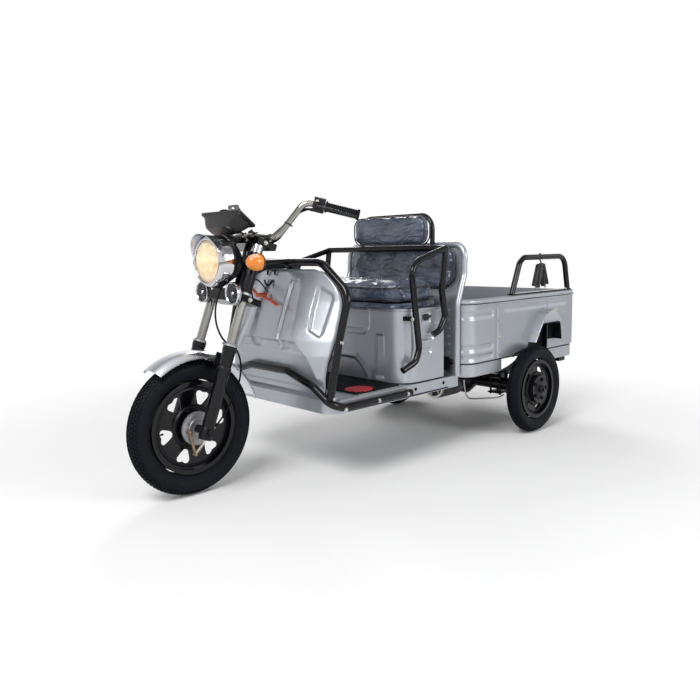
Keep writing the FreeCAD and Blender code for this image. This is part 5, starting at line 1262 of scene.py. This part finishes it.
# Rear drive: a finned cast motor with a bolted end ring, a bolted differential, and leaf springs held to
# the axle by clamps and plates. Rods and cables run back to the two cast brake plates.
mesh = bmesh.new()
motor = facing(at(0, 1290, 182), (0, -1, 0))
for step in range(9):
    join(mesh, turned([(58, -20 - step * 16), (64, -20 - step * 16), (64, -24 - step * 16),
                       (58, -24 - step * 16)], 40), motor)
join(mesh, turned([(0, 4), (20, 4), (24, 1), (24, -2)], 28), motor)
piece("motor_fins", mesh, cast, "chassis")
mesh = bmesh.new()
join(mesh, turned([(52, 1), (56, 2.5), (61.5, 2.5), (62.6, 0), (62.6, -9), (60, -9)], 48), motor)
for step in range(6):
    join(mesh, bolt(3.6, 4, 5.5),
         motor @ Matrix.Rotation(math.radians(60 * step + 18), 4, "Z") @ shift(43, 0, 1))
for side in (1, -1):
    cover = facing(at(side * 48, REAR_STATION, REAR_UP), (side, 0, 0))
    for step in range(8):
        join(mesh, bolt(4, 4, 6), cover @ Matrix.Rotation(math.radians(45 * step), 4, "Z") @ shift(58, 0, 0))
piece("drive_bolts", mesh, zinc, "chassis")
mesh = bmesh.new()
for side in (1, -1):
    spring = side * 223
    for behind in (1468, 1522):
        for x in (-25, 25):
            join(mesh, turned([(0, 0), (5, 0), (5, 92), (0, 92)], 12), spot(spring + x, behind, 148))
            join(mesh, bolt(5.5, 7, 8), facing(at(spring + x, behind, 151), (0, 0, -1)))
        join(mesh, brick((60, 11, 9), 3), spot(spring, behind, 240))
    join(mesh, brick((66, 84, 7), 2), spot(spring, REAR_STATION, 154))
    for behind in (1275, 1715):
        join(mesh, bolt(8, 8, 12), facing(at(side * 247, behind, 262), (side, 0, 0)))
piece("spring_clamps", mesh, satin, "chassis")
for name, side in SIDES:
    cable("brake_rod_" + name,
          [at(side * 200, 1259, 237), at(side * 200, 1262, 200), at(side * 200, 1281, 152),
           at(side * 200, 1330, 140), at(side * 200, 1440, 126), at(side * 200, 1541, 112),
           at(side * 214, 1552, 128)], 3.4, zinc, "chassis")
    cable("brake_cable_" + name,
          [at(side * 96, 1130, 268), at(side * 130, 1200, 262), at(side * 160, 1280, 236),
           at(side * 250, 1380, 216), at(side * 318, 1440, 222), at(side * 340, 1470, 232)], 3.6, rubber,
          "chassis")
    mesh = bmesh.new()
    plate = facing(at(side * 352, REAR_STATION, REAR_UP), (side, 0, 0))
    join(mesh, turned([(30, 6), (92, 6), (98, 2), (98, -3), (90, -5), (30, -5)], 48), plate)
    join(mesh, brick((14, 60, 5), 2), plate @ shift(52, 45, -8))
    join(mesh, bolt(6, 6, 9), plate @ shift(52, 20, -6) @ Matrix.Rotation(math.pi, 4, "X"))
    piece("rear_brake_plate_" + name, mesh, cast, "chassis")
cable("motor_wires",
      [at(-30, 1440, 236), at(-60, 1400, 262), at(-70, 1330, 282), at(-60, 1240, 286), at(-60, 1100, 284)], 6,
      rubber, "chassis")

# Bumper and tail lamps: zinc bolts through the bumper, and moulded red lenses in black frames.
# An amber ribbed band lies above each red field and a pale frosted one below it.
lens_red = finish("red_lens", (0.5, 0.01, 0.01), (0.62, 0.02, 0.015), (0.08, 0.16), 0, 0.6, 60, 0.05)
frosted = finish("frosted_lens", (0.55, 0.55, 0.53), (0.72, 0.71, 0.68), (0.06, 0.14), 0.2, 0.8, 60, 0)
show(lens_red, "tail_lamps")
mesh = bmesh.new()
for x in (-300, -180, 180, 300):
    join(mesh, bolt(5.5, 5, 8), facing(at(x, 1901, 276), (0, 1, 0)))
piece("bumper_bolts", mesh, zinc, "chassis")
TAIL_X = 329
ambers, whites, frames = bmesh.new(), bmesh.new(), bmesh.new()
for side in (1, -1):
    join(ambers, brick((44, 5, 12), 2), spot(side * TAIL_X, 1907.5, 330))
    join(whites, brick((44, 5, 9), 2), spot(side * TAIL_X, 1907.5, 300))
    join(frames, brick((56, 6, 50), 2.5), spot(side * TAIL_X, 1893, 316))
    for step in range(7):
        join(ambers, brick((2, 1.6, 11), 0.5, 1), spot(side * TAIL_X - 18 + step * 6, 1910, 330))
piece("tail_lamp_ambers", ambers, amber, "chassis")
piece("tail_lamp_clears", whites, frosted, "chassis")
piece("tail_lamp_frames", frames, plastic, "chassis")
